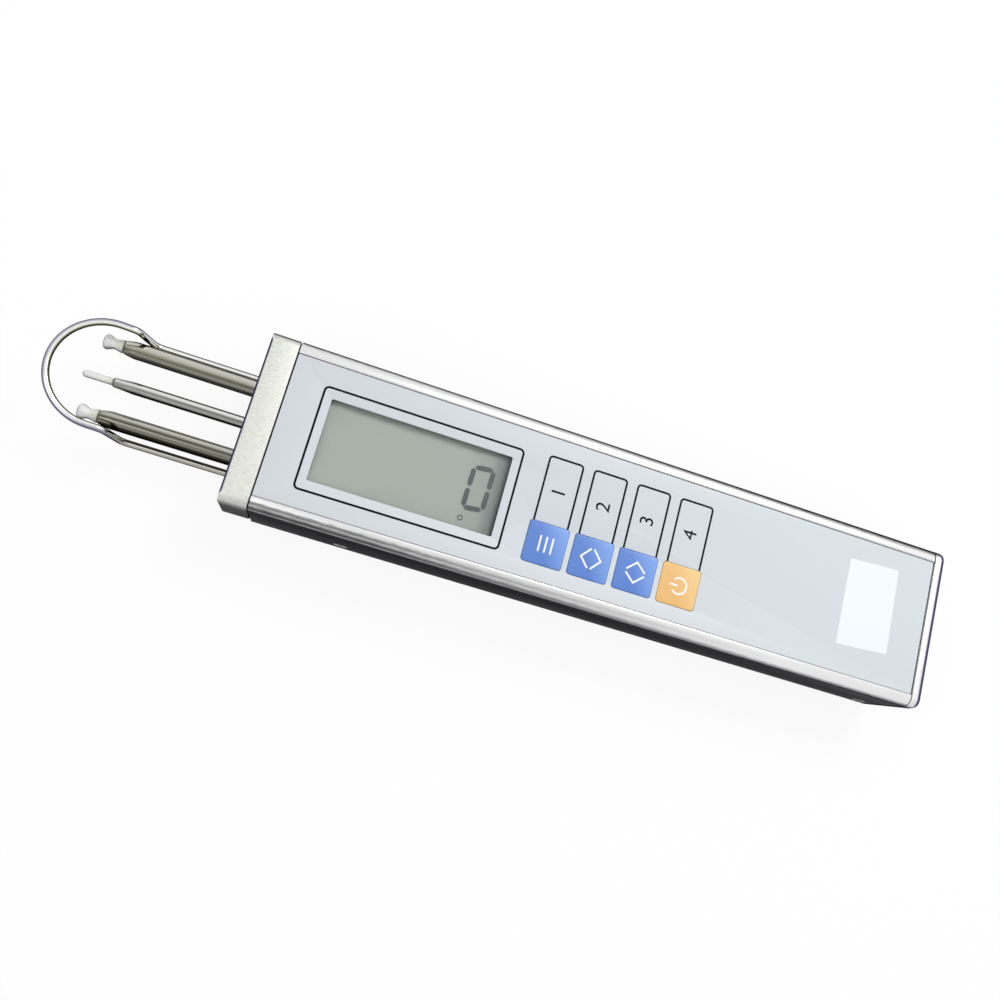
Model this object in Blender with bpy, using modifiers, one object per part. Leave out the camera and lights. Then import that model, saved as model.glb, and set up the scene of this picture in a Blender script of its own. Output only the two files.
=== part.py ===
"""Pocket yarn tension meter with its guide pins, guard bow, display, keys and inner works.

The meter lies on its back with the panel up. X runs from the guide pins to the tail, Y from the
near long side to the far one, and Z up out of the panel. The origin is the middle of the box
round the whole meter, on the surface that it lies on. All lengths are in metres.
"""

from math import atan2, cos, pi, radians, sin, tan

import bmesh
import bpy
from mathutils import Matrix, Vector

# Clearances and shared modelling values
fit_gap = 0.0003  # between pieces that seat on each other
pin_gap = 0.0002  # round a pin in its hole
seam_gap = 0.0003  # between the head, the housing and the end plate
overrun = 0.0010  # how far a cutter passes a face
weld_distance = 0.00001
round_sides = 24
small_round_sides = 16
corner_steps = 5
bend_steps = 5
loop_steps = 26
bow_resolution = 4
lead_resolution = 1
smooth_angle = radians(35)
sharp_angle = radians(50)

# Extruded housing
housing_length = 0.1633
housing_width = 0.0400
housing_depth = 0.0220
side_wall = 0.0018
floor_wall = 0.0018
top_wall = 0.0016
rail_width = 0.0032
panel_recess = 0.0012
rail_corner_share = 0.84  # radius of a rail's outer corner, of its width
base_corner_radius = 0.0010
rail_lip_radius = 0.0003
cavity_corner_radius = 0.0006
slot_rib_width = 0.0014
slot_rib_thickness = 0.0006
board_side_gap = 0.0004

# Head block at the pin end
head_length = 0.00635
head_side_inset = 0.00035
head_top_inset = 0.0002
head_base_inset = 0.0010
head_top_radius = 0.0025
head_base_radius = 0.0050
head_edge_radius = 0.0003
head_spigot_length = 0.0030
spigot_root = 0.0020  # how deep a spigot starts inside its plate

# End plate at the tail
end_plate_thickness = 0.00225
end_plate_corner_radius = 0.0021
end_spigot_length = 0.0050
end_spigot_wall = 0.0040

# Front overlay
overlay_thickness = 0.0005
overlay_side_gap = 0.0002
overlay_end_gap = 0.0002

# Display, from the housing's front end and from the middle line
display_start = 0.0102
display_offset = -0.0005
window_length = 0.04245
window_width = 0.0188
window_corner_radius = 0.0004
window_lap = 0.0008  # how far the clear window reaches under the overlay
window_thickness = 0.0006
glass_thickness = 0.0018
holder_end_wall = 0.00073
holder_side_wall = 0.00103
holder_corner_radius = 0.0010
holder_ledge = 0.0016
contact_strip_width = 0.0018
contact_strip_height = 0.0009

# Keys, in one row
key_count = 4
key_row_gap = 0.0080  # from the display's opening to the first key's
key_web = 0.00145  # between two key openings
key_offset = -0.00822
key_aperture_length = 0.0097
key_aperture_width = 0.00975
key_corner_radius = 0.0008
key_side_gap = 0.00025
key_rise = 0.0002  # above the overlay
key_thickness = 0.0009
key_edge_radius = 0.0002
key_stem_radius = 0.0016
key_travel = 0.0004
key_slot_margin = 0.0005
switch_side = 0.0062
switch_height = 0.0020
switch_bore_gap = 0.0004
switch_floor = 0.0003
dome_height = 0.0003
dome_crown_share = 0.5

# Circuit board and what is soldered on it
board_start = 0.0040
board_end_margin = 0.00235  # past the last switch
board_thickness = 0.0016
board_corner_radius = 0.0010
chip_side = 0.0120
chip_height = 0.0016
chip_place_shares = (0.31, 0.72)  # along the key row and across the board
component_length = 0.0032
component_width = 0.0016
component_height = 0.0014
solder_depth = 0.0004
component_place_shares = (
    (0.74, 0.62),
    (0.74, 0.74),
    (0.74, 0.86),
    (0.95, 0.62),
    (0.95, 0.74),
    (0.95, 0.86),
    (-0.04, 0.66),
    (-0.04, 0.82),
)
connector_length = 0.0060
connector_width = 0.0080
connector_height = 0.0030
battery_connector_ahead = 0.0320  # of the battery tray
battery_connector_offset = 0.0090  # from the middle line

# Outer posts and their ceramic saddle guides
pin_height_share = 0.69  # of the room between the floor and the board
post_spacing = 0.0169
post_radius = 0.0020
post_reach = 0.0307  # from the head's face
post_taper_length = 0.0030
post_end_radius = 0.0016
post_shoulder_share = 0.67  # how far the taper has opened halfway down it
post_edge_radius = 0.0002
post_grip = 0.00785  # of a post inside the sensor frame
guide_socket_depth = 0.0042
guide_spigot_radius = 0.00080
guide_length = 0.0044
guide_base_radius = 0.00155
guide_waist_radius = 0.00120
guide_head_radius = 0.00175
guide_end_radius = 0.0010
guide_crown_share = 0.75  # how full the rounding of its end is
guide_waist_share = 0.42
guide_head_share = 0.84
guide_curve_steps = 5

# Sensing pin and its ceramic rod
sensing_radius = 0.0014
sensing_end_radius = 0.0011
sensing_reach = 0.0304
sensing_taper_length = 0.0046
sensing_head_clearance = 0.00045
rod_length = 0.0069
rod_radius = 0.0008
rod_spigot_radius = 0.0006
rod_socket_depth = 0.0035
rod_tip_steps = 4

# Guard bow
bow_wire_radius = 0.0008
bow_half_width = 0.01175
bow_drop = 0.0037  # of its arms below the pins
bow_grip = 0.0042  # of an arm inside the sensor frame
bow_arm_reach = 0.0253
bow_joggle_length = 0.0029
bow_bend_radius = 0.0020
bow_side_length = 0.0033  # of the straight between the joggle and the loop
bow_loop_rise = 0.0050  # of the loop's centre above the pins
bow_loop_tilt = radians(8)

# Sensor frame behind the head block
frame_shoulder = 0.0008  # of its top above the slot ribs' foot
frame_floor = 0.0022
front_wall = 0.0047
narrow_pocket_length = 0.0078
pocket_clearance = 0.0003  # round the screw heads in it
wide_pocket_width = 0.0260

# Arm clamp, flexure and foot
clamp_room = 0.00385  # between the sensor frame's front wall and the clamp
clamp_bore_depth = 0.0050
clamp_web = 0.0010  # between the clamp's bore and its slot
clamp_width = 0.0080
clamp_clearance = 0.0008  # under the board
clamp_below_share = 0.54  # of the room between the pin's axis and the frame's floor
leaf_width = 0.0060
leaf_thickness = 0.0004
leaf_free_length = 0.0060
leaf_grip = 0.0024
gauge_length = 0.0030
gauge_width = 0.0032
gauge_thickness = 0.00015
gauge_gap = 0.0001
foot_length = 0.0100
foot_side_wall = 0.0006  # beside its screw heads
foot_above = 0.0022
foot_room = 0.00105  # behind the foot, to the end of the frame

# Screws
side_screw_front = 0.02155
side_screw_height = 0.0044
side_screw_head_radius = 0.0018
side_screw_radius = 0.0009
side_screw_length = 0.0050
side_screw_sink = 0.0001
side_screw_recess_radius = 0.0008
side_screw_recess_depth = 0.0006
cap_head_radius = 0.0019
cap_head_height = 0.0020
cap_shank_radius = 0.0011
cap_socket_radius = 0.0010
cap_socket_depth = 0.0012
head_screw_spacing = 0.0064
head_screw_clearance = 0.0005  # over the sensor frame's floor
head_screw_shank = 0.0105
foot_screw_spacing = 0.0070
foot_screw_from_end = 0.0032
grub_radius = 0.0010
grub_socket_radius = 0.0005
grub_socket_share = 0.3  # of the screw's length
grub_sink = 0.0016  # of its end above the frame's underside
post_grub_radius = 0.0015
post_grub_share = 0.83  # of the post's grip
stop_gap = 0.0003  # between an overload stop and the pin
clamp_grub_share = 0.6  # of the clamp's bore
clamp_grub_stand = 0.0015  # below the clamp

# Sensor ribbon
ribbon_run = 0.0077
ribbon_width = 0.0030
ribbon_thickness = 0.0003
ribbon_bend_share = 0.33

# Cells, tray, contacts and leads
cell_radius = 0.00525
cell_length = 0.0445
cell_nub_radius = 0.0019
cell_nub_length = 0.0010
cell_edge = 0.0005
cell_gap = 0.0007
tray_end_room = 0.0044  # to the end plate's spigot
tray_wall = 0.0012
tray_height = 0.0099
contact_width = 0.0085
contact_thickness = 0.0004
lead_radius = 0.0004
lead_spacing = 0.0030
lead_height = 0.0012  # above the cells' axes
lead_tail = 0.0015  # straight piece at each end

# Sizes that follow from what they hold or fit
guide_socket_radius = guide_spigot_radius + pin_gap
rod_socket_radius = rod_spigot_radius + pin_gap
rod_reach = sensing_reach + rod_length
bow_loop_reach = bow_arm_reach + bow_joggle_length + bow_side_length
rail_corner_radius = rail_width * rail_corner_share
pane_length = window_length + 2 * window_lap
pane_width = window_width + 2 * window_lap
display_cut_length = pane_length + 2 * (holder_end_wall + 2 * fit_gap)
display_cut_width = pane_width + 2 * (holder_side_wall + 2 * fit_gap)
key_pitch = key_aperture_length + key_web
key_row_run = (key_count - 1) * key_pitch
key_first_centre = display_start + window_length + key_row_gap + key_aperture_length / 2
board_length = key_first_centre + key_row_run + switch_side / 2 + board_end_margin - board_start
clamp_length = clamp_bore_depth + clamp_web + leaf_grip + 2 * fit_gap
narrow_pocket_width = head_screw_spacing + 2 * (cap_head_radius + pocket_clearance)
foot_width = foot_screw_spacing + 2 * (cap_head_radius + foot_side_wall)
tray_length = cell_length + 2 * (tray_wall + contact_thickness) + 4 * fit_gap

# Places along X
pin_end_reach = bow_loop_reach + bow_half_width * cos(bow_loop_tilt) + bow_wire_radius
overall_length = pin_end_reach + head_length + seam_gap + housing_length + seam_gap + end_plate_thickness
tail_x = overall_length / 2
end_plate_x = tail_x - end_plate_thickness
housing_end_x = end_plate_x - seam_gap
housing_start_x = housing_end_x - housing_length
head_back_x = housing_start_x - seam_gap
head_face_x = head_back_x - head_length
display_x = housing_start_x + display_start + window_length / 2
frame_start_x = housing_start_x + head_spigot_length + fit_gap
frame_wall_x = frame_start_x + front_wall
clamp_start_x = frame_wall_x + clamp_room
clamp_end_x = clamp_start_x + clamp_length
pivot_x = clamp_end_x + leaf_free_length / 2
foot_start_x = clamp_end_x + leaf_free_length
foot_end_x = foot_start_x + foot_length
frame_end_x = foot_end_x + foot_room
post_end_x = frame_start_x + post_grip
post_grub_x = frame_start_x + post_grip * post_grub_share
bow_end_x = frame_start_x + bow_grip
pin_end_x = clamp_start_x + clamp_bore_depth
ribbon_start_x = foot_end_x + fit_gap
ribbon_end_x = ribbon_start_x + ribbon_run
sensor_connector_x = ribbon_end_x + fit_gap + connector_length / 2
tray_x = housing_end_x - end_spigot_length - tray_end_room - tray_length
battery_connector_x = tray_x - battery_connector_ahead

# Heights, from the table up
recess_z = housing_depth - panel_recess
ceiling_z = recess_z - top_wall
overlay_z = recess_z + fit_gap
overlay_top_z = overlay_z + overlay_thickness
glass_top_z = recess_z - window_thickness - fit_gap
glass_z = glass_top_z - glass_thickness
board_top_z = glass_z - contact_strip_height - 2 * fit_gap
board_z = board_top_z - board_thickness
upper_rib_z = board_top_z + fit_gap
lower_rib_z = board_z - fit_gap - slot_rib_thickness
inner_floor_z = floor_wall + fit_gap
connector_z = board_z - fit_gap - connector_height / 2
pin_z = inner_floor_z + (board_z - inner_floor_z) * pin_height_share
arm_z = pin_z - bow_drop
ledge_z = lower_rib_z - fit_gap
frame_top_z = ledge_z + frame_shoulder
frame_floor_z = inner_floor_z + frame_floor
head_screw_z = frame_floor_z + cap_head_radius + head_screw_clearance
clamp_top_z = board_z - clamp_clearance
clamp_bottom_z = pin_z - (pin_z - frame_floor_z) * clamp_below_share

# Half widths
housing_half = housing_width / 2
panel_half = housing_half - rail_width
cavity_half = housing_half - side_wall
insert_half = cavity_half - fit_gap
shoulder_half = cavity_half - slot_rib_width - fit_gap
head_half = housing_half - head_side_inset
board_width = 2 * (cavity_half - board_side_gap)
post_y = post_spacing / 2

# Pairs across the middle line, and turns that lay a piece's own Z along another axis
sides = (("near", -1), ("far", 1))
towards_tail = (0, pi / 2, 0)
towards_pins = (0, -pi / 2, 0)
towards_far = (-pi / 2, 0, 0)
towards_near = (pi / 2, 0, 0)
downwards = (pi, 0, 0)
section_turn = (pi / 2, 0, pi / 2)  # draws (across, up) as world Y and Z
upright = (0, 0, 0)


def clear_scene():
    for thing in list(bpy.data.objects):
        bpy.data.objects.remove(thing, do_unlink=True)


def new_collection(name):
    collection = bpy.data.collections.new(name)
    bpy.context.scene.collection.children.link(collection)
    return collection


def new_material(name, color, roughness, metallic):
    material = bpy.data.materials.new(name)
    material.use_nodes = True
    shader = material.node_tree.nodes["Principled BSDF"]
    shader.inputs["Base Color"].default_value = (*color, 1)
    shader.inputs["Roughness"].default_value = roughness
    shader.inputs["Metallic"].default_value = metallic
    return material


def solid(name, mesh, material, place=(0, 0, 0), turn=upright, parent=None):
    """A piece of the meter. Place is in the world, also for a piece with a parent."""
    piece = bpy.data.objects.new(name, mesh)
    mesh.materials.clear()
    mesh.materials.append(material)
    parts.objects.link(piece)
    piece.parent = parent
    piece.location = Vector(place) - (parent.location if parent else Vector((0, 0, 0)))
    piece.rotation_euler = turn
    return piece


def shape_with(piece, mesh, place=(0, 0, 0), turn=upright, operation="DIFFERENCE"):
    """Cuts a mesh out of a piece, or joins it to the piece."""
    helper = bpy.data.objects.new(f"{piece.name}_{operation.lower()}_{len(piece.modifiers)}", mesh)
    cutters.objects.link(helper)
    helper.location = place
    helper.rotation_euler = turn
    helper.hide_render = True
    helper.display_type = "WIRE"
    boolean = piece.modifiers.new(operation.lower(), "BOOLEAN")
    boolean.operation = operation
    boolean.solver = "EXACT"
    boolean.object = helper
    return helper


def soften(piece, width, segments=2):
    bevel = piece.modifiers.new("edge", "BEVEL")
    bevel.width = width
    bevel.segments = segments
    bevel.limit_method = "ANGLE"
    bevel.angle_limit = sharp_angle
    return bevel


def smooth(mesh):
    mesh.shade_smooth()
    mesh.set_sharp_from_angle(angle=smooth_angle)
    return mesh


def mesh_of(maker):
    """The evaluated mesh of a helper object, welded, with its faces pointing out."""
    bpy.context.scene.collection.objects.link(maker)
    graph = bpy.context.evaluated_depsgraph_get()
    mesh = bpy.data.meshes.new_from_object(maker.evaluated_get(graph))
    bpy.data.objects.remove(maker, do_unlink=True)
    work = bmesh.new()
    work.from_mesh(mesh)
    bmesh.ops.remove_doubles(work, verts=work.verts, dist=weld_distance)
    bmesh.ops.recalc_face_normals(work, faces=work.faces)
    work.to_mesh(mesh)
    work.free()
    return smooth(mesh)


def box_mesh(length, width, height):
    mesh = bpy.data.meshes.new("box")
    work = bmesh.new()
    bmesh.ops.create_cube(work, size=1, matrix=Matrix.Diagonal((length, width, height, 1)))
    work.to_mesh(mesh)
    work.free()
    return mesh


def rod_mesh(radius, length, sides=round_sides):
    mesh = bpy.data.meshes.new("rod")
    work = bmesh.new()
    bmesh.ops.create_cone(
        work, cap_ends=True, segments=sides, radius1=radius, radius2=radius, depth=length
    )
    work.to_mesh(mesh)
    work.free()
    return smooth(mesh)


def turned_mesh(stations, sides=round_sides):
    """A solid of revolution about Z, from (height, radius) stations that run top to bottom."""
    profile = bpy.data.meshes.new("profile")
    points = [(radius, 0, height) for height, radius in stations]
    profile.from_pydata(points, [(i, i + 1) for i in range(len(points) - 1)], [])
    maker = bpy.data.objects.new("profile", profile)
    screw = maker.modifiers.new("turn", "SCREW")
    screw.axis = "Z"
    screw.steps = sides
    screw.render_steps = sides
    screw.use_merge_vertices = True
    screw.merge_threshold = weld_distance
    return mesh_of(maker)


def bend(before, here, after, radius, steps):
    """Points of the arc that rounds one corner of a flat path."""
    here, before, after = Vector(here), Vector(before), Vector(after)
    back = (before - here).normalized()
    ahead = (after - here).normalized()
    half = back.angle(ahead) / 2
    middle = here + (back + ahead).normalized() * radius / sin(half)
    first = here + back * radius / tan(half) - middle
    last = here + ahead * radius / tan(half) - middle
    start = atan2(first.y, first.x)
    sweep = (atan2(last.y, last.x) - start + pi) % (2 * pi) - pi
    angles = [start + sweep * step / steps for step in range(steps + 1)]
    return [middle + Vector((cos(angle), sin(angle))) * radius for angle in angles]


def rounded(corners):
    """A closed outline from (across, up, radius) corners."""
    points = []
    for index, (across, up, radius) in enumerate(corners):
        if radius == 0:
            points.append(Vector((across, up)))
            continue
        before = corners[index - 1][:2]
        after = corners[(index + 1) % len(corners)][:2]
        points += bend(before, (across, up), after, radius, corner_steps)
    return points


def rectangle(length, width, radius=0, centre=(0, 0)):
    x, y = centre
    right, left = x + length / 2, x - length / 2
    top, base = y + width / 2, y - width / 2
    return rounded(
        [(left, base, radius), (right, base, radius), (right, top, radius), (left, top, radius)]
    )


def slab_mesh(outlines, thickness):
    """A flat solid from an outline and the outlines of its holes, centred on its own plane."""
    curve = bpy.data.curves.new("outline", "CURVE")
    curve.dimensions = "2D"
    curve.fill_mode = "BOTH"
    curve.extrude = thickness / 2
    for points in outlines:
        spline = curve.splines.new("POLY")
        spline.points.add(len(points) - 1)
        spline.use_cyclic_u = True
        for target, point in zip(spline.points, points):
            target.co = (point[0], point[1], 0, 1)
    return mesh_of(bpy.data.objects.new("outline", curve))


def wire_mesh(points, radius, resolution):
    """A round wire along a smooth list of points, with flat ends."""
    curve = bpy.data.curves.new("wire", "CURVE")
    curve.dimensions = "3D"
    curve.bevel_depth = radius
    curve.bevel_resolution = resolution
    curve.use_fill_caps = True
    spline = curve.splines.new("POLY")
    spline.points.add(len(points) - 1)
    for target, point in zip(spline.points, points):
        target.co = (*point, 1)
    return mesh_of(bpy.data.objects.new("wire", curve))


def housing_outline():
    half, panel = housing_half, panel_half
    return rounded(
        [
            (-half, 0, base_corner_radius),
            (half, 0, base_corner_radius),
            (half, housing_depth, rail_corner_radius),
            (panel, housing_depth, rail_lip_radius),
            (panel, recess_z, 0),
            (-panel, recess_z, 0),
            (-panel, housing_depth, rail_lip_radius),
            (-half, housing_depth, rail_corner_radius),
        ]
    )


def cavity_outline():
    """The inside of the extrusion, with the two ribs each side that make the board's slot."""
    far_side = [(cavity_half, floor_wall, cavity_corner_radius)]
    for rib_z in (lower_rib_z, upper_rib_z):
        rib_top_z = rib_z + slot_rib_thickness
        tip = cavity_half - slot_rib_width
        far_side += [(cavity_half, rib_z, 0), (tip, rib_z, 0)]
        far_side += [(tip, rib_top_z, 0), (cavity_half, rib_top_z, 0)]
    far_side.append((cavity_half, ceiling_z, cavity_corner_radius))
    near_side = [(-across, up, radius) for across, up, radius in reversed(far_side)]
    return rounded(far_side + near_side)


def side_screw_places():
    """(name, place, turn) of each side screw, its own Z pointing out of the housing."""
    places = []
    across = housing_half - side_screw_sink
    tail_screw_x = housing_end_x - end_spigot_length / 2
    for end, x in (("front", housing_start_x + side_screw_front), ("tail", tail_screw_x)):
        places.append((f"near_{end}", (x, -across, side_screw_height), towards_near))
        places.append((f"far_{end}", (x, across, side_screw_height), towards_far))
    return places


def side_screw_bore_mesh():
    """Countersunk clearance hole, deep enough for the housing's wall and the thread behind it."""
    mouth = side_screw_head_radius + pin_gap
    bore = side_screw_radius + pin_gap
    return turned_mesh(
        [
            (overrun, 0),
            (overrun, mouth),
            (0, mouth),
            (bore - mouth, bore),
            (-side_screw_length - fit_gap, bore),
            (-side_screw_length - fit_gap, 0),
        ],
        small_round_sides,
    )


def make_housing():
    mesh = slab_mesh([housing_outline(), cavity_outline()], housing_length)
    middle_x = (housing_start_x + housing_end_x) / 2
    housing = solid("extruded_housing", mesh, aluminium, (middle_x, 0, 0), section_turn)
    wall_z = (recess_z + ceiling_z) / 2
    cut_height = top_wall + 2 * overrun
    display_cut = slab_mesh(
        [rectangle(display_cut_length, display_cut_width, holder_corner_radius)], cut_height
    )
    shape_with(housing, display_cut, (display_x, display_offset, wall_z))
    key_slot = slab_mesh(
        [
            rectangle(
                key_row_run + key_aperture_length + 2 * key_slot_margin,
                key_aperture_width + 2 * key_slot_margin,
                key_corner_radius,
            )
        ],
        cut_height,
    )
    row_x = housing_start_x + key_first_centre + key_row_run / 2
    shape_with(housing, key_slot, (row_x, key_offset, wall_z))
    for _, place, turn in side_screw_places():
        shape_with(housing, side_screw_bore_mesh(), place, turn)
    return housing


def insert_mesh(length):
    """Bar that slides into the cavity below the board, stepped at its sides to clear the ribs."""
    section = rounded(
        [
            (-insert_half, inner_floor_z, 0),
            (insert_half, inner_floor_z, 0),
            (insert_half, ledge_z, 0),
            (shoulder_half, ledge_z, 0),
            (shoulder_half, frame_top_z, 0),
            (-shoulder_half, frame_top_z, 0),
            (-shoulder_half, ledge_z, 0),
            (-insert_half, ledge_z, 0),
        ]
    )
    return slab_mesh([section], length)


def make_head_block():
    base_z, top_z = head_base_inset, housing_depth - head_top_inset
    section = rounded(
        [
            (-head_half, base_z, head_base_radius),
            (head_half, base_z, head_base_radius),
            (head_half, top_z, head_top_radius),
            (-head_half, top_z, head_top_radius),
        ]
    )
    middle_x = (head_face_x + head_back_x) / 2
    head = solid(
        "head_block", slab_mesh([section], head_length), satin_aluminium, (middle_x, 0, 0), section_turn
    )
    soften(head, head_edge_radius)
    spigot_back_x = housing_start_x + head_spigot_length
    spigot_front_x = head_back_x - spigot_root
    spigot = insert_mesh(spigot_back_x - spigot_front_x)
    spigot_place = ((spigot_front_x + spigot_back_x) / 2, 0, 0)
    shape_with(head, spigot, spigot_place, section_turn, "UNION")
    bore_length = spigot_back_x - head_face_x + 2 * overrun
    bore_x = (spigot_back_x + head_face_x) / 2
    for side in (-1, 1):
        post_bore = rod_mesh(post_radius + pin_gap, bore_length)
        shape_with(head, post_bore, (bore_x, side * post_y, pin_z), towards_tail)
        bow_bore = rod_mesh(bow_wire_radius + pin_gap, bore_length, small_round_sides)
        shape_with(head, bow_bore, (bore_x, side * bow_half_width, arm_z), towards_tail)
    pin_bore = rod_mesh(sensing_radius + sensing_head_clearance, bore_length)
    shape_with(head, pin_bore, (bore_x, 0, pin_z), towards_tail)
    for place in head_screw_places():
        thread = rod_mesh(
            cap_shank_radius + pin_gap, 2 * (head_screw_shank + fit_gap), small_round_sides
        )
        shape_with(head, thread, place, towards_tail)
    return head


def head_screw_places():
    """Undersides of the two screw heads, on the inner face of the sensor frame's front wall."""
    x = frame_wall_x + fit_gap
    return [(x, side * head_screw_spacing / 2, head_screw_z) for side in (-1, 1)]


def make_end_plate():
    half = housing_half
    section = rounded(
        [
            (-half, 0, base_corner_radius),
            (half, 0, base_corner_radius),
            (half, housing_depth, rail_corner_radius),
            (-half, housing_depth, rail_corner_radius),
        ]
    )
    middle_x = (end_plate_x + tail_x) / 2
    plate_mesh = slab_mesh([section], end_plate_thickness)
    plate = solid("end_plate", plate_mesh, aluminium, (middle_x, 0, 0), section_turn)
    near_x, far_x = -end_plate_thickness, end_plate_thickness / 2
    plan = rounded(
        [
            (near_x, -half, 0),
            (far_x, -half, end_plate_corner_radius),
            (far_x, half, end_plate_corner_radius),
            (near_x, half, 0),
        ]
    )
    rounding = slab_mesh([plan], housing_depth + 2 * overrun)
    shape_with(plate, rounding, (middle_x, 0, housing_depth / 2), operation="INTERSECT")
    spigot_front_x = housing_end_x - end_spigot_length
    spigot_back_x = end_plate_x + end_plate_thickness / 2
    spigot = insert_mesh(spigot_back_x - spigot_front_x)
    spigot_place = ((spigot_front_x + spigot_back_x) / 2, 0, 0)
    shape_with(plate, spigot, spigot_place, section_turn, "UNION")
    hollow_top_z = frame_top_z + overrun
    hollow = box_mesh(
        end_spigot_length, 2 * (insert_half - end_spigot_wall), hollow_top_z - frame_floor_z
    )
    hollow_x = housing_end_x - end_spigot_length / 2 - seam_gap
    shape_with(plate, hollow, (hollow_x, 0, (frame_floor_z + hollow_top_z) / 2))
    for name, place, turn in side_screw_places():
        if name.endswith("tail"):
            shape_with(plate, side_screw_bore_mesh(), place, turn)
    return plate


def key_places():
    return [housing_start_x + key_first_centre + index * key_pitch for index in range(key_count)]


def make_overlay():
    """The membrane panel, with the display opening and one opening for each key."""
    start_x = housing_start_x + overlay_end_gap
    end_x = housing_end_x - overlay_end_gap
    middle_x = (start_x + end_x) / 2
    outlines = [rectangle(end_x - start_x, 2 * (panel_half - overlay_side_gap))]
    window_centre = (display_x - middle_x, display_offset)
    outlines.append(rectangle(window_length, window_width, window_corner_radius, window_centre))
    for x in key_places():
        outlines.append(
            rectangle(
                key_aperture_length, key_aperture_width, key_corner_radius, (x - middle_x, key_offset)
            )
        )
    mesh = slab_mesh(outlines, overlay_thickness)
    middle_z = (overlay_z + overlay_top_z) / 2
    return solid("front_overlay", mesh, overlay_plastic, (middle_x, 0, middle_z))


def make_display():
    """Clear window, display glass, the holder round both, and the contact strips below."""
    window = slab_mesh([rectangle(pane_length, pane_width, window_corner_radius)], window_thickness)
    window_z = recess_z - window_thickness / 2
    solid("display_window", window, clear_plastic, (display_x, display_offset, window_z))
    glass = box_mesh(pane_length, pane_width, glass_thickness)
    glass_middle_z = (glass_z + glass_top_z) / 2
    solid("display_glass", glass, display_grey, (display_x, display_offset, glass_middle_z))

    holder_z = board_top_z + fit_gap
    holder_height = recess_z - holder_z
    outer = rectangle(
        display_cut_length - 2 * fit_gap, display_cut_width - 2 * fit_gap, holder_corner_radius
    )
    opening = rectangle(pane_length + 2 * fit_gap, pane_width + 2 * fit_gap)
    ring = slab_mesh([outer, opening], holder_height)
    holder = solid(
        "display_holder",
        ring,
        black_plastic,
        (display_x, display_offset, holder_z + holder_height / 2),
    )
    ledge_height = glass_z - fit_gap - holder_z
    for side in (-1, 1):
        ledge_x = display_x + side * (pane_length / 2 + fit_gap - holder_ledge / 2)
        ledge = box_mesh(holder_ledge + overrun, pane_width / 2, ledge_height)
        place = (ledge_x + side * overrun / 2, display_offset, holder_z + ledge_height / 2)
        shape_with(holder, ledge, place, operation="UNION")

    strip_y = pane_width / 2 - contact_strip_width / 2
    strip_z = holder_z + contact_strip_height / 2
    for name, side in sides:
        strip = box_mesh(window_length, contact_strip_width, contact_strip_height)
        place = (display_x, display_offset + side * strip_y, strip_z)
        solid(f"display_contact_strip_{name}", strip, black_rubber, place)


def make_keys():
    """Four keys, each with a stem that reaches into its switch."""
    cap_length = key_aperture_length - 2 * key_side_gap
    cap_width = key_aperture_width - 2 * key_side_gap
    cap_top_z = overlay_top_z + key_rise
    cap_z = cap_top_z - key_thickness
    stem_foot_z = board_top_z + fit_gap + switch_floor + dome_height + fit_gap + key_travel
    names = ("menu_key", "down_key", "up_key", "power_key")
    for name, x in zip(names, key_places()):
        color = key_amber if name == "power_key" else key_blue
        cap = slab_mesh([rectangle(cap_length, cap_width, key_corner_radius)], key_thickness)
        key = solid(name, cap, color, (x, key_offset, cap_z + key_thickness / 2))
        soften(key, key_edge_radius)
        stem_top_z = cap_z + key_thickness / 2
        stem = rod_mesh(key_stem_radius, stem_top_z - stem_foot_z, small_round_sides)
        place = (x, key_offset, (stem_foot_z + stem_top_z) / 2)
        shape_with(key, stem, place, operation="UNION")


def make_switches():
    """A switch under each key: a square body whose bore has a domed floor."""
    body_z = board_top_z + fit_gap
    bore_radius = key_stem_radius + switch_bore_gap
    bore_mesh = turned_mesh(
        [
            (switch_height + overrun, 0),
            (switch_height + overrun, bore_radius),
            (switch_floor, bore_radius),
            (switch_floor + dome_height, bore_radius * dome_crown_share),
            (switch_floor + dome_height, 0),
        ],
        small_round_sides,
    )
    for number, x in enumerate(key_places(), 1):
        body = box_mesh(switch_side, switch_side, switch_height)
        place = (x, key_offset, body_z + switch_height / 2)
        switch = solid(f"key_switch_{number}", body, black_plastic, place)
        shape_with(switch, bore_mesh, (x, key_offset, body_z))


def make_board():
    board_x = housing_start_x + board_start
    outline = rectangle(board_length, board_width, board_corner_radius)
    place = (board_x + board_length / 2, 0, board_z + board_thickness / 2)
    board = solid("circuit_board", slab_mesh([outline], board_thickness), board_green, place)

    def spot(shares, z):
        along = key_first_centre + key_row_run * shares[0]
        return (housing_start_x + along, board_width * (shares[1] - 0.5), z)

    chip = box_mesh(chip_side, chip_side, chip_height)
    chip_z = board_top_z + fit_gap + chip_height / 2
    solid("processor_chip", chip, black_plastic, spot(chip_place_shares, chip_z))
    component_z = board_top_z + component_height / 2
    for shares in component_place_shares:
        component = box_mesh(component_length, component_width, component_height + solder_depth)
        shape_with(board, component, spot(shares, component_z), operation="UNION")
    places = (
        ("sensor", sensor_connector_x, 0),
        ("battery", battery_connector_x, battery_connector_offset),
    )
    for name, x, y in places:
        connector = box_mesh(connector_length, connector_width, connector_height)
        solid(f"{name}_connector", connector, cream_plastic, (x, y, connector_z))


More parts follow.
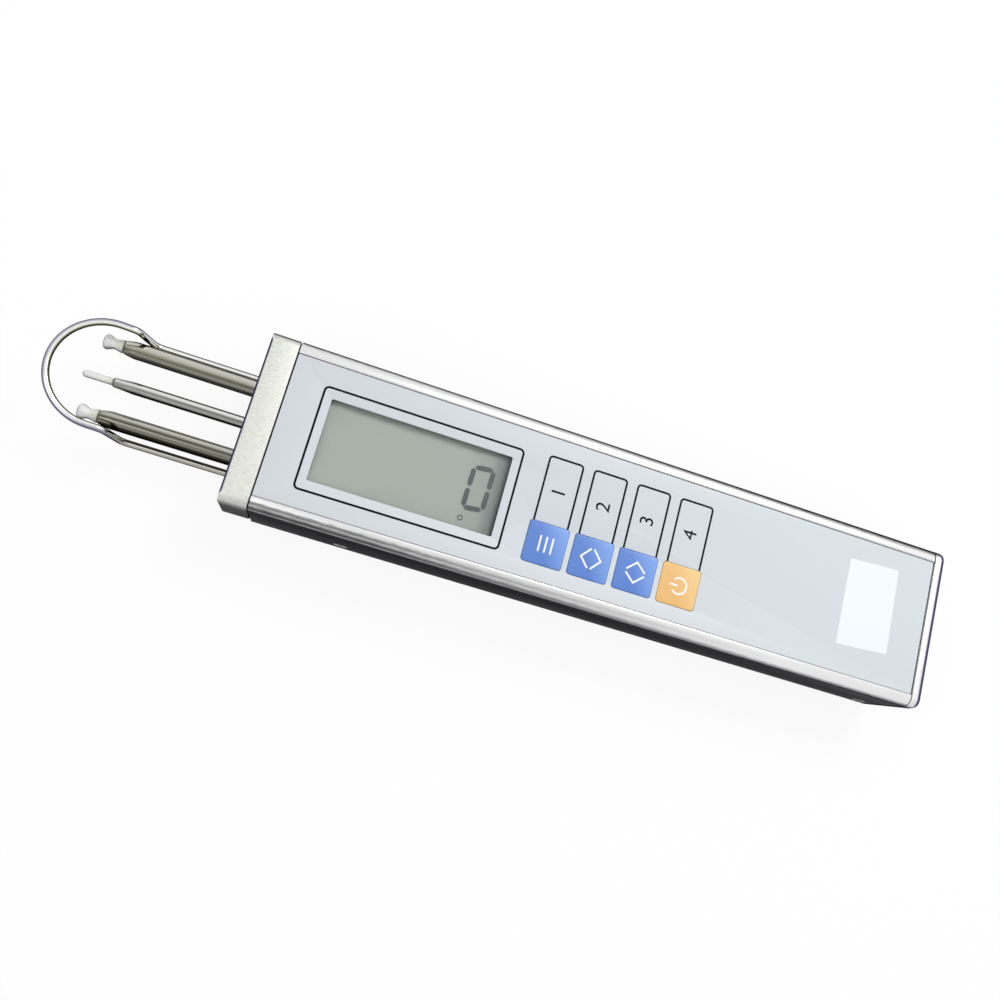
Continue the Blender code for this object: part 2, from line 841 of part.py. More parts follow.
def make_posts():
    """Outer posts with a tapered end and a socket, and the ceramic saddle guides seated in them."""
    tip = post_reach
    foot = head_face_x - post_end_x
    shoulder_radius = post_end_radius + (post_radius - post_end_radius) * post_shoulder_share
    post = turned_mesh(
        [
            (tip - guide_socket_depth, 0),
            (tip - guide_socket_depth, guide_socket_radius),
            (tip, guide_socket_radius),
            (tip, post_end_radius - post_edge_radius),
            (tip - post_edge_radius, post_end_radius),
            (tip - post_taper_length / 2, shoulder_radius),
            (tip - post_taper_length, post_radius),
            (foot + post_edge_radius, post_radius),
            (foot, post_radius - post_edge_radius),
            (foot, 0),
        ]
    )
    base = tip + fit_gap
    socket_floor = tip - guide_socket_depth + fit_gap
    guide = turned_mesh(guide_stations(base, socket_floor))
    for name, side in sides:
        place = (head_face_x, side * post_y, pin_z)
        solid(f"outer_post_{name}", post.copy(), polished_steel, place, towards_pins)
        solid(f"ceramic_guide_{name}", guide.copy(), ceramic, place, towards_pins)


def guide_stations(base, spigot_end):
    """The saddle: round the end, down into the waist, out to the base, then the spigot."""
    head_at = base + guide_length * guide_head_share
    waist_at = base + guide_length * guide_waist_share
    end_at = base + guide_length
    stations = [(end_at, 0), (end_at, guide_end_radius)]
    crown_radius = guide_end_radius + (guide_head_radius - guide_end_radius) * guide_crown_share
    stations.append(((end_at + head_at) / 2, crown_radius))
    spans = (
        (head_at, guide_head_radius, waist_at, guide_waist_radius),
        (waist_at, guide_waist_radius, base, guide_base_radius),
    )
    for top, top_radius, low, low_radius in spans:
        for step in range(guide_curve_steps):
            share = step / guide_curve_steps
            blend = (1 - cos(pi * share)) / 2
            stations.append((top + (low - top) * share, top_radius + (low_radius - top_radius) * blend))
    stations.append((base, guide_base_radius))
    stations.append((base, guide_spigot_radius))
    stations.append((spigot_end, guide_spigot_radius))
    stations.append((spigot_end, 0))
    return stations


def make_sensing_arm():
    """The sensing pin, its ceramic rod, and the clamp and leaf that carry it. All swing together."""
    pivot = bpy.data.objects.new("sensing_pivot", None)
    pivot.location = (pivot_x, 0, pin_z)
    parts.objects.link(pivot)
    tip, foot = sensing_reach, head_face_x - pin_end_x
    pin = turned_mesh(
        [
            (tip - rod_socket_depth, 0),
            (tip - rod_socket_depth, rod_socket_radius),
            (tip, rod_socket_radius),
            (tip, sensing_end_radius),
            (tip - sensing_taper_length, sensing_radius),
            (foot, sensing_radius),
            (foot, 0),
        ]
    )
    face = (head_face_x, 0, pin_z)
    solid("sensing_pin", pin, polished_steel, face, towards_pins, pivot)

    shoulder = tip + fit_gap
    dome_start = rod_reach - rod_radius
    stations = [(rod_reach, 0)]
    for step in range(1, rod_tip_steps + 1):
        angle = pi / 2 * step / rod_tip_steps
        stations.append((dome_start + rod_radius * cos(angle), rod_radius * sin(angle)))
    stations += [(shoulder, rod_radius), (shoulder, rod_spigot_radius)]
    spigot_end = tip - rod_socket_depth + fit_gap
    stations += [(spigot_end, rod_spigot_radius), (spigot_end, 0)]
    rod = turned_mesh(stations, small_round_sides)
    solid("ceramic_sensing_rod", rod, ceramic, face, towards_pins, pivot)

    clamp_mesh = box_mesh(clamp_length, clamp_width, clamp_top_z - clamp_bottom_z)
    clamp_place = (clamp_start_x + clamp_length / 2, 0, (clamp_top_z + clamp_bottom_z) / 2)
    clamp = solid("arm_clamp", clamp_mesh, aluminium, clamp_place, upright, pivot)
    bore_start_x = clamp_start_x - overrun
    bore_end_x = pin_end_x + fit_gap
    bore = rod_mesh(sensing_radius + pin_gap, bore_end_x - bore_start_x)
    shape_with(clamp, bore, ((bore_start_x + bore_end_x) / 2, 0, pin_z), towards_tail)
    slot_start_x = clamp_end_x - leaf_grip - fit_gap
    slot_end_x = clamp_end_x + overrun
    slot = box_mesh(slot_end_x - slot_start_x, leaf_width + 2 * fit_gap, leaf_thickness + 2 * fit_gap)
    shape_with(clamp, slot, ((slot_start_x + slot_end_x) / 2, 0, pin_z))
    grub_x = clamp_start_x + clamp_bore_depth * clamp_grub_share
    grub_bore_length = pin_z - clamp_bottom_z + overrun
    grub_bore = rod_mesh(grub_radius + pin_gap, grub_bore_length, small_round_sides)
    shape_with(clamp, grub_bore, (grub_x, 0, pin_z - grub_bore_length / 2))
    grub_top_z = pin_z - sensing_radius - fit_gap
    grub = grub_mesh(grub_radius, grub_top_z - clamp_bottom_z + clamp_grub_stand)
    solid("arm_clamp_screw", grub, steel, (grub_x, 0, grub_top_z), downwards, pivot)

    leaf_start_x = clamp_end_x - leaf_grip
    leaf_end_x = foot_start_x + leaf_grip
    leaf = box_mesh(leaf_end_x - leaf_start_x, leaf_width, leaf_thickness)
    leaf_place = ((leaf_start_x + leaf_end_x) / 2, 0, pin_z)
    solid("flexure_leaf", leaf, steel, leaf_place, upright, pivot)
    gauge_z = leaf_thickness / 2 + gauge_gap + gauge_thickness / 2
    for name, side in (("lower", -1), ("upper", 1)):
        gauge = box_mesh(gauge_length, gauge_width, gauge_thickness)
        place = (pivot_x, 0, pin_z + side * gauge_z)
        solid(f"strain_gauge_{name}", gauge, gauge_amber, place, upright, pivot)


def grub_mesh(radius, length):
    """A headless screw whose socket end is at its own top and whose point is at zero."""
    return turned_mesh(
        [
            (length * (1 - grub_socket_share), 0),
            (length * (1 - grub_socket_share), grub_socket_radius),
            (length, grub_socket_radius),
            (length, radius),
            (0, radius),
            (0, 0),
        ],
        small_round_sides,
    )


def cap_screw_mesh(shank):
    """A socket head screw, its head standing on zero and its shank below."""
    return turned_mesh(
        [
            (cap_head_height - cap_socket_depth, 0),
            (cap_head_height - cap_socket_depth, cap_socket_radius),
            (cap_head_height, cap_socket_radius),
            (cap_head_height, cap_head_radius),
            (0, cap_head_radius),
            (0, cap_shank_radius),
            (-shank, cap_shank_radius),
            (-shank, 0),
        ],
        small_round_sides,
    )


def bow_points():
    """Centre line of the guard bow: one arm and its joggle, the tilted loop, the other arm."""
    joggle_x = head_face_x - bow_arm_reach
    loop_foot_x = joggle_x - bow_joggle_length
    loop_x = head_face_x - bow_loop_reach
    loop_z = pin_z + bow_loop_rise
    loop_foot_z = loop_z - (loop_foot_x - loop_x) * tan(bow_loop_tilt)
    arm, joggle = (bow_end_x, arm_z), (joggle_x, arm_z)
    loop_foot, loop_start = (loop_foot_x, loop_foot_z), (loop_x, loop_z)
    side = [arm]
    side += bend(arm, joggle, loop_foot, bow_bend_radius, bend_steps)
    side += bend(joggle, loop_foot, loop_start, bow_bend_radius, bend_steps)
    far_arm = [(x, bow_half_width, z) for x, z in side]
    loop = []
    for step in range(loop_steps + 1):
        angle = pi / 2 + pi * step / loop_steps
        out = bow_half_width * cos(angle)
        x = loop_x + out * cos(bow_loop_tilt)
        loop.append((x, bow_half_width * sin(angle), loop_z - out * sin(bow_loop_tilt)))
    near_arm = [(x, -y, z) for x, y, z in reversed(far_arm)]
    return far_arm + loop + near_arm


def make_guard_bow():
    solid("guard_bow", wire_mesh(bow_points(), bow_wire_radius, bow_resolution), polished_steel)


def make_sensor_frame():
    """Front block for the posts, then a floor and two walls round the flexure."""
    middle_x = (frame_start_x + frame_end_x) / 2
    mesh = insert_mesh(frame_end_x - frame_start_x)
    frame = solid("sensor_frame", mesh, aluminium, (middle_x, 0, 0), section_turn)
    pocket_height = frame_top_z - frame_floor_z + overrun
    pocket_z = frame_floor_z + pocket_height / 2
    narrow_end_x = frame_wall_x + narrow_pocket_length
    narrow = box_mesh(narrow_pocket_length + overrun, narrow_pocket_width, pocket_height)
    shape_with(frame, narrow, ((frame_wall_x + narrow_end_x + overrun) / 2, 0, pocket_z))
    wide_length = frame_end_x - narrow_end_x + overrun
    wide = box_mesh(wide_length, wide_pocket_width, pocket_height)
    shape_with(frame, wide, (narrow_end_x + wide_length / 2, 0, pocket_z))

    bore_start_x = frame_start_x - overrun
    for side in (-1, 1):
        length = post_end_x + fit_gap - bore_start_x
        post_bore = rod_mesh(post_radius + pin_gap, length)
        shape_with(frame, post_bore, (bore_start_x + length / 2, side * post_y, pin_z), towards_tail)
        length = bow_end_x + fit_gap - bore_start_x
        bow_bore = rod_mesh(bow_wire_radius + pin_gap, length, small_round_sides)
        bow_place = (bore_start_x + length / 2, side * bow_half_width, arm_z)
        shape_with(frame, bow_bore, bow_place, towards_tail)
        grub_bore = rod_mesh(post_grub_radius + pin_gap, pin_z, small_round_sides)
        grub_place = (post_grub_x, side * post_y, pin_z / 2)
        shape_with(frame, grub_bore, grub_place)
    length = front_wall + 2 * overrun
    pin_bore = rod_mesh(sensing_radius + sensing_head_clearance, length)
    shape_with(frame, pin_bore, (frame_start_x + front_wall / 2, 0, pin_z), towards_tail)
    stop_bore = rod_mesh(grub_radius + pin_gap, housing_depth, small_round_sides)
    shape_with(frame, stop_bore, (frame_start_x + front_wall / 2, 0, housing_depth / 2))
    for place in head_screw_places():
        screw_bore = rod_mesh(cap_shank_radius + pin_gap, 2 * head_screw_shank, small_round_sides)
        shape_with(frame, screw_bore, (place[0] - head_screw_shank + fit_gap, *place[1:]), towards_tail)
    for x, y in foot_screw_places():
        foot_bore = rod_mesh(cap_shank_radius + pin_gap, 2 * frame_floor_z, small_round_sides)
        shape_with(frame, foot_bore, (x, y, frame_floor_z / 2))
    for name, place, turn in side_screw_places():
        if name.endswith("front"):
            shape_with(frame, side_screw_bore_mesh(), place, turn)
    return frame


def foot_screw_places():
    x = foot_end_x - foot_screw_from_end
    return [(x, side * foot_screw_spacing / 2) for side in (-1, 1)]


def make_flexure_foot():
    """Block on the sensor frame's floor that grips the leaf's fixed end."""
    foot_z = frame_floor_z + fit_gap
    foot_top_z = pin_z + foot_above
    height = foot_top_z - foot_z
    place = (foot_start_x + foot_length / 2, 0, foot_z + height / 2)
    foot = solid("flexure_foot", box_mesh(foot_length, foot_width, height), aluminium, place)
    slot_length = leaf_grip + fit_gap + overrun
    slot = box_mesh(slot_length, leaf_width + 2 * fit_gap, leaf_thickness + 2 * fit_gap)
    slot_x = foot_start_x - overrun + slot_length / 2
    shape_with(foot, slot, (slot_x, 0, pin_z))
    seat_z = foot_top_z - cap_head_height
    for x, y in foot_screw_places():
        counterbore = rod_mesh(cap_head_radius + pin_gap, 2 * cap_head_height, small_round_sides)
        shape_with(foot, counterbore, (x, y, seat_z + cap_head_height))
        bore = rod_mesh(cap_shank_radius + pin_gap, 2 * housing_depth, small_round_sides)
        shape_with(foot, bore, (x, y, 0))


def make_inner_screws():
    seat_z = pin_z + foot_above - cap_head_height + fit_gap
    grub_z = pin_z - post_radius - fit_gap
    grub_end_z = inner_floor_z + grub_sink
    for index, (name, side) in enumerate(sides):
        head_screw = cap_screw_mesh(head_screw_shank)
        solid(f"head_block_screw_{name}", head_screw, steel, head_screw_places()[index], towards_tail)
        foot_screw = cap_screw_mesh(seat_z - inner_floor_z - fit_gap)
        place = (*foot_screw_places()[index], seat_z)
        solid(f"flexure_foot_screw_{name}", foot_screw, steel, place)
        grub = grub_mesh(post_grub_radius, grub_z - grub_end_z)
        place = (post_grub_x, side * post_y, grub_z)
        solid(f"post_grub_screw_{name}", grub, steel, place, downwards)
    stop_x = frame_start_x + front_wall / 2
    upper_stop_z = pin_z + sensing_radius + stop_gap
    lower_stop_z = pin_z - sensing_radius - stop_gap
    upper = grub_mesh(grub_radius, frame_top_z - fit_gap - upper_stop_z)
    solid("overload_stop_upper", upper, steel, (stop_x, 0, upper_stop_z))
    lower = grub_mesh(grub_radius, lower_stop_z - grub_end_z)
    solid("overload_stop_lower", lower, steel, (stop_x, 0, lower_stop_z), downwards)


def make_side_screws():
    head_depth = side_screw_head_radius - side_screw_radius
    screw = turned_mesh(
        [
            (-side_screw_recess_depth, 0),
            (0, side_screw_recess_radius),
            (0, side_screw_head_radius),
            (-head_depth, side_screw_radius),
            (-side_screw_length, side_screw_radius),
            (-side_screw_length, 0),
        ],
        small_round_sides,
    )
    for name, place, turn in side_screw_places():
        solid(f"side_screw_{name}", screw.copy(), steel, place, turn)


def make_sensor_ribbon():
    """Thin strip from the flexure foot up to the sensor connector."""
    step_x = ribbon_run * ribbon_bend_share
    start, end = (ribbon_start_x, pin_z), (ribbon_end_x, connector_z)
    low_bend, high_bend = (ribbon_start_x + step_x, pin_z), (ribbon_end_x - step_x, connector_z)
    line = [Vector(start)]
    line += bend(start, low_bend, high_bend, step_x, bend_steps)
    line += bend(low_bend, high_bend, end, step_x, bend_steps)
    line.append(Vector(end))
    sheet = bpy.data.meshes.new("sheet")
    points = [(x, side * ribbon_width / 2, z) for x, z in line for side in (-1, 1)]
    faces = [(2 * i, 2 * i + 1, 2 * i + 3, 2 * i + 2) for i in range(len(line) - 1)]
    sheet.from_pydata(points, [], faces)
    maker = bpy.data.objects.new("sheet", sheet)
    thicken = maker.modifiers.new("thickness", "SOLIDIFY")
    thicken.thickness = ribbon_thickness
    thicken.offset = 0
    solid("sensor_ribbon", mesh_of(maker), ribbon_brown)


def make_battery():
    """Two cells in series in a tray, with their contacts and leads."""
    cell_y = cell_radius + cell_gap / 2
    cell_z = inner_floor_z + tray_wall + fit_gap + cell_radius
    contact_x = tray_x + tray_wall + fit_gap
    cell_x = contact_x + contact_thickness + fit_gap
    bridge_x = cell_x + cell_length + fit_gap
    lead_z = cell_z + lead_height
    notch_z = lead_z - lead_radius - fit_gap
    tray_width = 2 * (cell_y + cell_radius + fit_gap + tray_wall)
    tray_place = (tray_x + tray_length / 2, 0, inner_floor_z + tray_height / 2)
    tray_mesh = box_mesh(tray_length, tray_width, tray_height)
    tray = solid("battery_tray", tray_mesh, black_plastic, tray_place)
    inner = box_mesh(tray_length - 2 * tray_wall, tray_width - 2 * tray_wall, tray_height)
    shape_with(tray, inner, (tray_place[0], 0, tray_place[2] + tray_wall))
    for _, side in sides:
        notch = box_mesh(2 * tray_wall, 2 * (lead_radius + fit_gap), tray_height)
        shape_with(tray, notch, (tray_x, side * cell_y, notch_z + tray_height / 2))

    body_end = cell_length - cell_nub_length
    cell = turned_mesh(
        [
            (cell_length, 0),
            (cell_length, cell_nub_radius),
            (body_end, cell_nub_radius),
            (body_end, cell_radius - cell_edge),
            (body_end - cell_edge, cell_radius),
            (cell_edge, cell_radius),
            (0, cell_radius - cell_edge),
            (0, 0),
        ]
    )
    solid("battery_cell_near", cell.copy(), cell_silver, (cell_x, -cell_y, cell_z), towards_tail)
    far_place = (cell_x + cell_length, cell_y, cell_z)
    solid("battery_cell_far", cell.copy(), cell_silver, far_place, towards_pins)

    front_x = contact_x + contact_thickness / 2
    for name, side in sides:
        contact = box_mesh(contact_thickness, contact_width, contact_width)
        solid(f"battery_contact_{name}", contact, steel, (front_x, side * cell_y, cell_z))
    bridge = box_mesh(contact_thickness, 2 * cell_y + contact_width, contact_width)
    solid("battery_bridge", bridge, steel, (bridge_x + contact_thickness / 2, 0, cell_z))

    lead_start_x = contact_x - fit_gap
    plug_x = battery_connector_x + connector_length / 2 + fit_gap
    for (name, side), color in zip(sides, (lead_red, black_rubber)):
        plug_y = battery_connector_offset + side * lead_spacing / 2
        route = [
            (lead_start_x, side * cell_y, lead_z),
            (tray_x - lead_tail, side * cell_y, lead_z),
            (plug_x + lead_tail, plug_y, connector_z),
            (plug_x, plug_y, connector_z),
        ]
        solid(f"battery_lead_{name}", wire_mesh(route, lead_radius, lead_resolution), color)


clear_scene()
parts = new_collection("yarn_tension_meter")
cutters = new_collection("cutters")

aluminium = new_material("aluminium", (0.72, 0.73, 0.74), 0.30, 1.0)
satin_aluminium = new_material("satin_aluminium", (0.80, 0.81, 0.79), 0.55, 0.9)
polished_steel = new_material("polished_steel", (0.62, 0.61, 0.57), 0.16, 1.0)
steel = new_material("steel", (0.60, 0.60, 0.60), 0.35, 1.0)
ceramic = new_material("ceramic", (0.90, 0.90, 0.86), 0.25, 0.0)
overlay_plastic = new_material("overlay_plastic", (0.68, 0.72, 0.78), 0.45, 0.0)
clear_plastic = new_material("clear_plastic", (0.80, 0.84, 0.82), 0.10, 0.0)
display_grey = new_material("display_grey", (0.38, 0.42, 0.38), 0.30, 0.0)
black_plastic = new_material("black_plastic", (0.03, 0.03, 0.03), 0.50, 0.0)
cream_plastic = new_material("cream_plastic", (0.75, 0.70, 0.58), 0.50, 0.0)
black_rubber = new_material("black_rubber", (0.02, 0.02, 0.02), 0.80, 0.0)
key_blue = new_material("key_blue", (0.10, 0.24, 0.74), 0.40, 0.0)
key_amber = new_material("key_amber", (0.90, 0.50, 0.13), 0.40, 0.0)
board_green = new_material("board_green", (0.03, 0.22, 0.08), 0.45, 0.0)
gauge_amber = new_material("gauge_amber", (0.70, 0.45, 0.10), 0.40, 0.0)
ribbon_brown = new_material("ribbon_brown", (0.45, 0.22, 0.06), 0.40, 0.0)
cell_silver = new_material("cell_silver", (0.55, 0.56, 0.58), 0.35, 0.8)
lead_red = new_material("lead_red", (0.55, 0.03, 0.02), 0.45, 0.0)

make_housing()
make_head_block()
make_end_plate()
make_overlay()
make_display()
make_keys()
make_switches()
make_board()
make_posts()
make_sensing_arm()
make_guard_bow()
make_sensor_frame()
make_flexure_foot()
make_inner_screws()
make_side_screws()
make_sensor_ribbon()
make_battery()
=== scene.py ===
from math import cos, pi, radians, sin, tan

import bmesh
import bpy
from mathutils import Matrix, Vector


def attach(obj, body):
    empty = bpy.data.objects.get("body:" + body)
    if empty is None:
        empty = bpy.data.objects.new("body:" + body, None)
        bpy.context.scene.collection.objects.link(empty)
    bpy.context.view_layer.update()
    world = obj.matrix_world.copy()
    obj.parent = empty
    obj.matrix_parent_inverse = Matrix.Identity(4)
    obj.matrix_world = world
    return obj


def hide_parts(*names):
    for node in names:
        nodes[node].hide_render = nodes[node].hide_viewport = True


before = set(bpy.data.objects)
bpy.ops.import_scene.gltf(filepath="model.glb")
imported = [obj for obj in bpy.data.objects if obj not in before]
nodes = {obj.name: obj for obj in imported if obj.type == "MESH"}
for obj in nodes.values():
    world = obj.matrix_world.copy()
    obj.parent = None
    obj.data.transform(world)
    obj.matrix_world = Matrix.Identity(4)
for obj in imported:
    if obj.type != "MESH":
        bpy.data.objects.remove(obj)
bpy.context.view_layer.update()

# The camera looks down on the meter from above its pin end, a little from its near side,
# as in the photograph.
camera_turn = Vector((0.18180334, -0.19363087, 0.28651609))
camera_place = Vector((-0.03983, -0.04504, 0.2275))
camera_lens = 33.70
camera_data = bpy.data.cameras.new("camera")
camera_data.lens = camera_lens
camera_data.sensor_width = 36
camera = bpy.data.objects.new("camera", camera_data)
camera.matrix_world = Matrix.Translation(camera_place) @ Matrix.Rotation(
    camera_turn.length, 4, camera_turn.normalized()
)
bpy.context.scene.collection.objects.link(camera)
bpy.context.scene.camera = camera


# The housing is one length of aluminium extrusion, satin on the rails beside the panel and dark
# on its sides, partly as dark anodising and partly as painted dark reflection; its rails carry
# painted reflection bands. It is cut open on top for the display and the keys, and countersunk
# in its sides for the screws.
mm = 0.001
housing_front, housing_back = -57.632 * mm, 105.668 * mm
housing_half, rail_top, panel_half = 20 * mm, 22 * mm, 16.8 * mm
recess_height, ceiling_height = 20.8 * mm, 19.2 * mm
rail_corner, rail_lip, base_corner = 2.688 * mm, 0.3 * mm, 1.0 * mm
cavity_half, cavity_corner = 18.2 * mm, 0.6 * mm
floor_height, rib_reach, rib_thickness = 1.8 * mm, 1.4 * mm, 0.6 * mm
rib_heights = (14.1 * mm, 16.9 * mm)
display_middle, display_offset = -26.207 * mm, -0.5 * mm
key_centres = [x * mm for x in (7.868, 19.018, 30.168, 41.318)]
key_offset = -8.22 * mm
side_screw_places = [(x * mm, side) for x in (-36.082, 103.168) for side in (-1, 1)]
side_screw_height, side_screw_sink, side_screw_head = 4.4 * mm, 0.1 * mm, 1.8 * mm
side_screw_shank, side_screw_length, bore_gap = 0.9 * mm, 5.0 * mm, 0.2 * mm
display_cut_size = (47.11 * mm, 23.66 * mm, 1 * mm)
key_cut_size, cut_depth = (44.15 * mm, 10.75 * mm, 0.8 * mm), 3.6 * mm
section_turn = Matrix(((0, 0, 1, 0), (1, 0, 0, 0), (0, 1, 0, 0), (0, 0, 0, 1)))


def rounded(corners, steps=10):
    """A closed outline from (across, up, radius) corners."""
    points = []
    for index, (across, up, radius) in enumerate(corners):
        here = Vector((across, up))
        if radius == 0:
            points.append(here)
            continue
        before = (Vector(corners[index - 1][:2]) - here).normalized()
        after = (Vector(corners[(index + 1) % len(corners)][:2]) - here).normalized()
        half = before.angle(after) / 2
        middle = here + (before + after).normalized() * radius / sin(half)
        first = here + before * radius / tan(half) - middle
        last = here + after * radius / tan(half) - middle
        for step in range(steps + 1):
            points.append(middle + first.slerp(last, step / steps).normalized() * radius)
    return points


def rectangle(length, width, radius=0, centre=(0, 0), steps=10):
    x, y = centre
    right, left, top, base = x + length / 2, x - length / 2, y + width / 2, y - width / 2
    corners = ((left, base), (right, base), (right, top), (left, top))
    return rounded([(*corner, radius) for corner in corners], steps)


def welded(work, name):
    """Merges doubles, turns the faces outward and gives back a smooth mesh with sharp edges."""
    mesh = bpy.data.meshes.new(name)
    bmesh.ops.remove_doubles(work, verts=work.verts, dist=0.000001)
    bmesh.ops.recalc_face_normals(work, faces=work.faces)
    work.to_mesh(mesh)
    work.free()
    mesh.shade_smooth()
    mesh.set_sharp_from_angle(angle=radians(32))
    return mesh


def evaluated_mesh(maker):
    """The mesh that a helper object makes with its modifiers. The helper goes."""
    if maker.name not in bpy.context.scene.collection.objects:
        bpy.context.scene.collection.objects.link(maker)
    graph = bpy.context.evaluated_depsgraph_get()
    mesh = bpy.data.meshes.new_from_object(maker.evaluated_get(graph), depsgraph=graph)
    name = maker.name
    bpy.data.objects.remove(maker, do_unlink=True)
    work = bmesh.new()
    work.from_mesh(mesh)
    return welded(work, name)


def slab(outlines, thickness, edge=0.0, rounds=2):
    """A flat plate with rounded edges, about its middle, from an outline and those of its holes."""
    curve = bpy.data.curves.new("slab", "CURVE")
    curve.dimensions = "2D"
    curve.fill_mode = "BOTH"
    curve.extrude = thickness / 2 - edge
    curve.bevel_depth = edge
    curve.bevel_resolution = rounds
    curve.offset = -edge
    for points in outlines:
        spline = curve.splines.new("POLY")
        spline.points.add(len(points) - 1)
        spline.use_cyclic_u = True
        for target, point in zip(spline.points, points):
            target.co = (point[0], point[1], 0, 1)
    return evaluated_mesh(bpy.data.objects.new("slab", curve))


def turned(stations, sides=48):
    """A solid turned about Z from (height, radius) stations, with both ends on the axis."""
    work = bmesh.new()
    rings = []
    for height, radius in stations:
        count = sides if radius else 1
        angles = [2 * pi * k / sides for k in range(count)]
        rings.append([work.verts.new((radius * cos(a), radius * sin(a), height)) for a in angles])
    for low, high in zip(rings, rings[1:]):
        for k in range(sides):
            after = (k + 1) % sides
            corners = [low[k % len(low)], low[after % len(low)]]
            corners += [high[after % len(high)], high[k % len(high)]]
            face = list(dict.fromkeys(corners))
            if len(face) > 2:
                work.faces.new(face)
    return welded(work, "turned")


def shaped(mesh, cuts, name):
    """A mesh with others cut out of it or joined to it. Cuts are (mesh, place, operation)."""
    maker = bpy.data.objects.new(name, mesh)
    bpy.context.scene.collection.objects.link(maker)
    helpers = []
    for cut_mesh, place, operation in cuts:
        helper = bpy.data.objects.new("cutter", cut_mesh)
        helper.matrix_world = place
        bpy.context.scene.collection.objects.link(helper)
        helpers.append(helper)
        boolean = maker.modifiers.new(operation, "BOOLEAN")
        boolean.operation = operation
        boolean.solver = "EXACT"
        boolean.object = helper
    result = evaluated_mesh(maker)
    for helper in helpers:
        bpy.data.objects.remove(helper, do_unlink=True)
    return result


def piece(name, mesh, material, body, replaced=()):
    """A finished piece at the origin, riding on its body."""
    made = bpy.data.objects.new(name, mesh)
    mesh.name = name
    mesh.materials.clear()
    mesh.materials.append(material)
    bpy.context.scene.collection.objects.link(made)
    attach(made, body)
    if replaced:
        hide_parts(*replaced)
    return made


def paint(*levels):
    """A colour from the eight-bit values that it shows as: red, green and blue, or a grey and what
    its blue has more."""
    if len(levels) < 3:
        grey, more = (*levels, 0)[:2]
        levels = (grey, grey, min(grey + more, 255))
    shares = [value / 255 for value in levels]
    linear = [s / 12.92 if s <= 0.04045 else ((s + 0.055) / 1.055) ** 2.4 for s in shares]
    return (*linear, 1)


def declared(tree, way, **sockets):
    """Gives a tree its inputs or outputs, from their names and kinds."""
    for name, kind in sockets.items():
        tree.interface.new_socket(
            name.replace("_", " "), in_out=way, socket_type=f"NodeSocket{kind}"
        )


def added(tree, kind, settings=(), **inputs):
    """A new node. Its inputs are given as values or as the outputs of other nodes."""
    node = tree.nodes.new(kind)
    for name, value in settings:
        setattr(node, name, value)
    for name, value in inputs.items():
        socket = node.inputs[name.replace("_", " ")]
        if isinstance(value, bpy.types.NodeSocket):
            tree.links.new(value, socket)
        else:
            socket.default_value = value
    return node


def calculated(tree, operation, first, second=None):
    """The output of one Math node. First and second are outputs or numbers."""
    math = tree.nodes.new("ShaderNodeMath")
    math.operation = operation
    for socket, value in zip(math.inputs, (first, second)):
        if isinstance(value, (int, float)):
            socket.default_value = value
        elif value is not None:
            tree.links.new(value, socket)
    return math.outputs["Value"]


def coordinates(tree, place):
    """The X, Y and Z outputs of a place."""
    return added(tree, "ShaderNodeSeparateXYZ", Vector=place).outputs


def past(tree, value, start):
    """How many millimetres a value lies past its start."""
    return calculated(tree, "MULTIPLY", calculated(tree, "SUBTRACT", value, start), 1000)


def fine_grain_group():
    """A colour, a roughness and a height that vary with a fine grain, stretched as asked."""
    group = bpy.data.node_groups.new("fine_grain", "ShaderNodeTree")
    declared(
        group, "INPUT", Place="Vector", Stretch="Vector", Scale="Float", Tint="Color",
        Darken="Float", Smoothest="Float", Roughest="Float",
    )
    declared(group, "OUTPUT", Color="Color", Roughness="Float", Height="Float")
    given, put = added(group, "NodeGroupInput").outputs, added(group, "NodeGroupOutput")
    stretched = added(group, "ShaderNodeVectorMath", [("operation", "MULTIPLY")])
    group.links.new(given["Place"], stretched.inputs[0])
    group.links.new(given["Stretch"], stretched.inputs[1])
    noise = added(
        group, "ShaderNodeTexNoise", Vector=stretched.outputs["Vector"], Scale=given["Scale"],
        Detail=4, Roughness=0.62,
    )
    spread = added(
        group, "ShaderNodeMapRange", Value=noise.outputs["Fac"], From_Min=0.32, From_Max=0.68
    ).outputs["Result"]
    lowest = calculated(group, "SUBTRACT", 1, given["Darken"])
    shade = added(group, "ShaderNodeMapRange", Value=spread, To_Min=lowest, To_Max=1)
    tinted = added(
        group, "ShaderNodeVectorMath", [("operation", "SCALE")], Vector=given["Tint"],
        Scale=shade.outputs["Result"],
    )
    rough = added(
        group, "ShaderNodeMapRange", Value=spread, To_Min=given["Smoothest"],
        To_Max=given["Roughest"],
    )
    group.links.new(tinted.outputs["Vector"], put.inputs["Color"])
    group.links.new(rough.outputs["Result"], put.inputs["Roughness"])
    group.links.new(spread, put.inputs["Height"])
    return group


fine_grain = fine_grain_group()


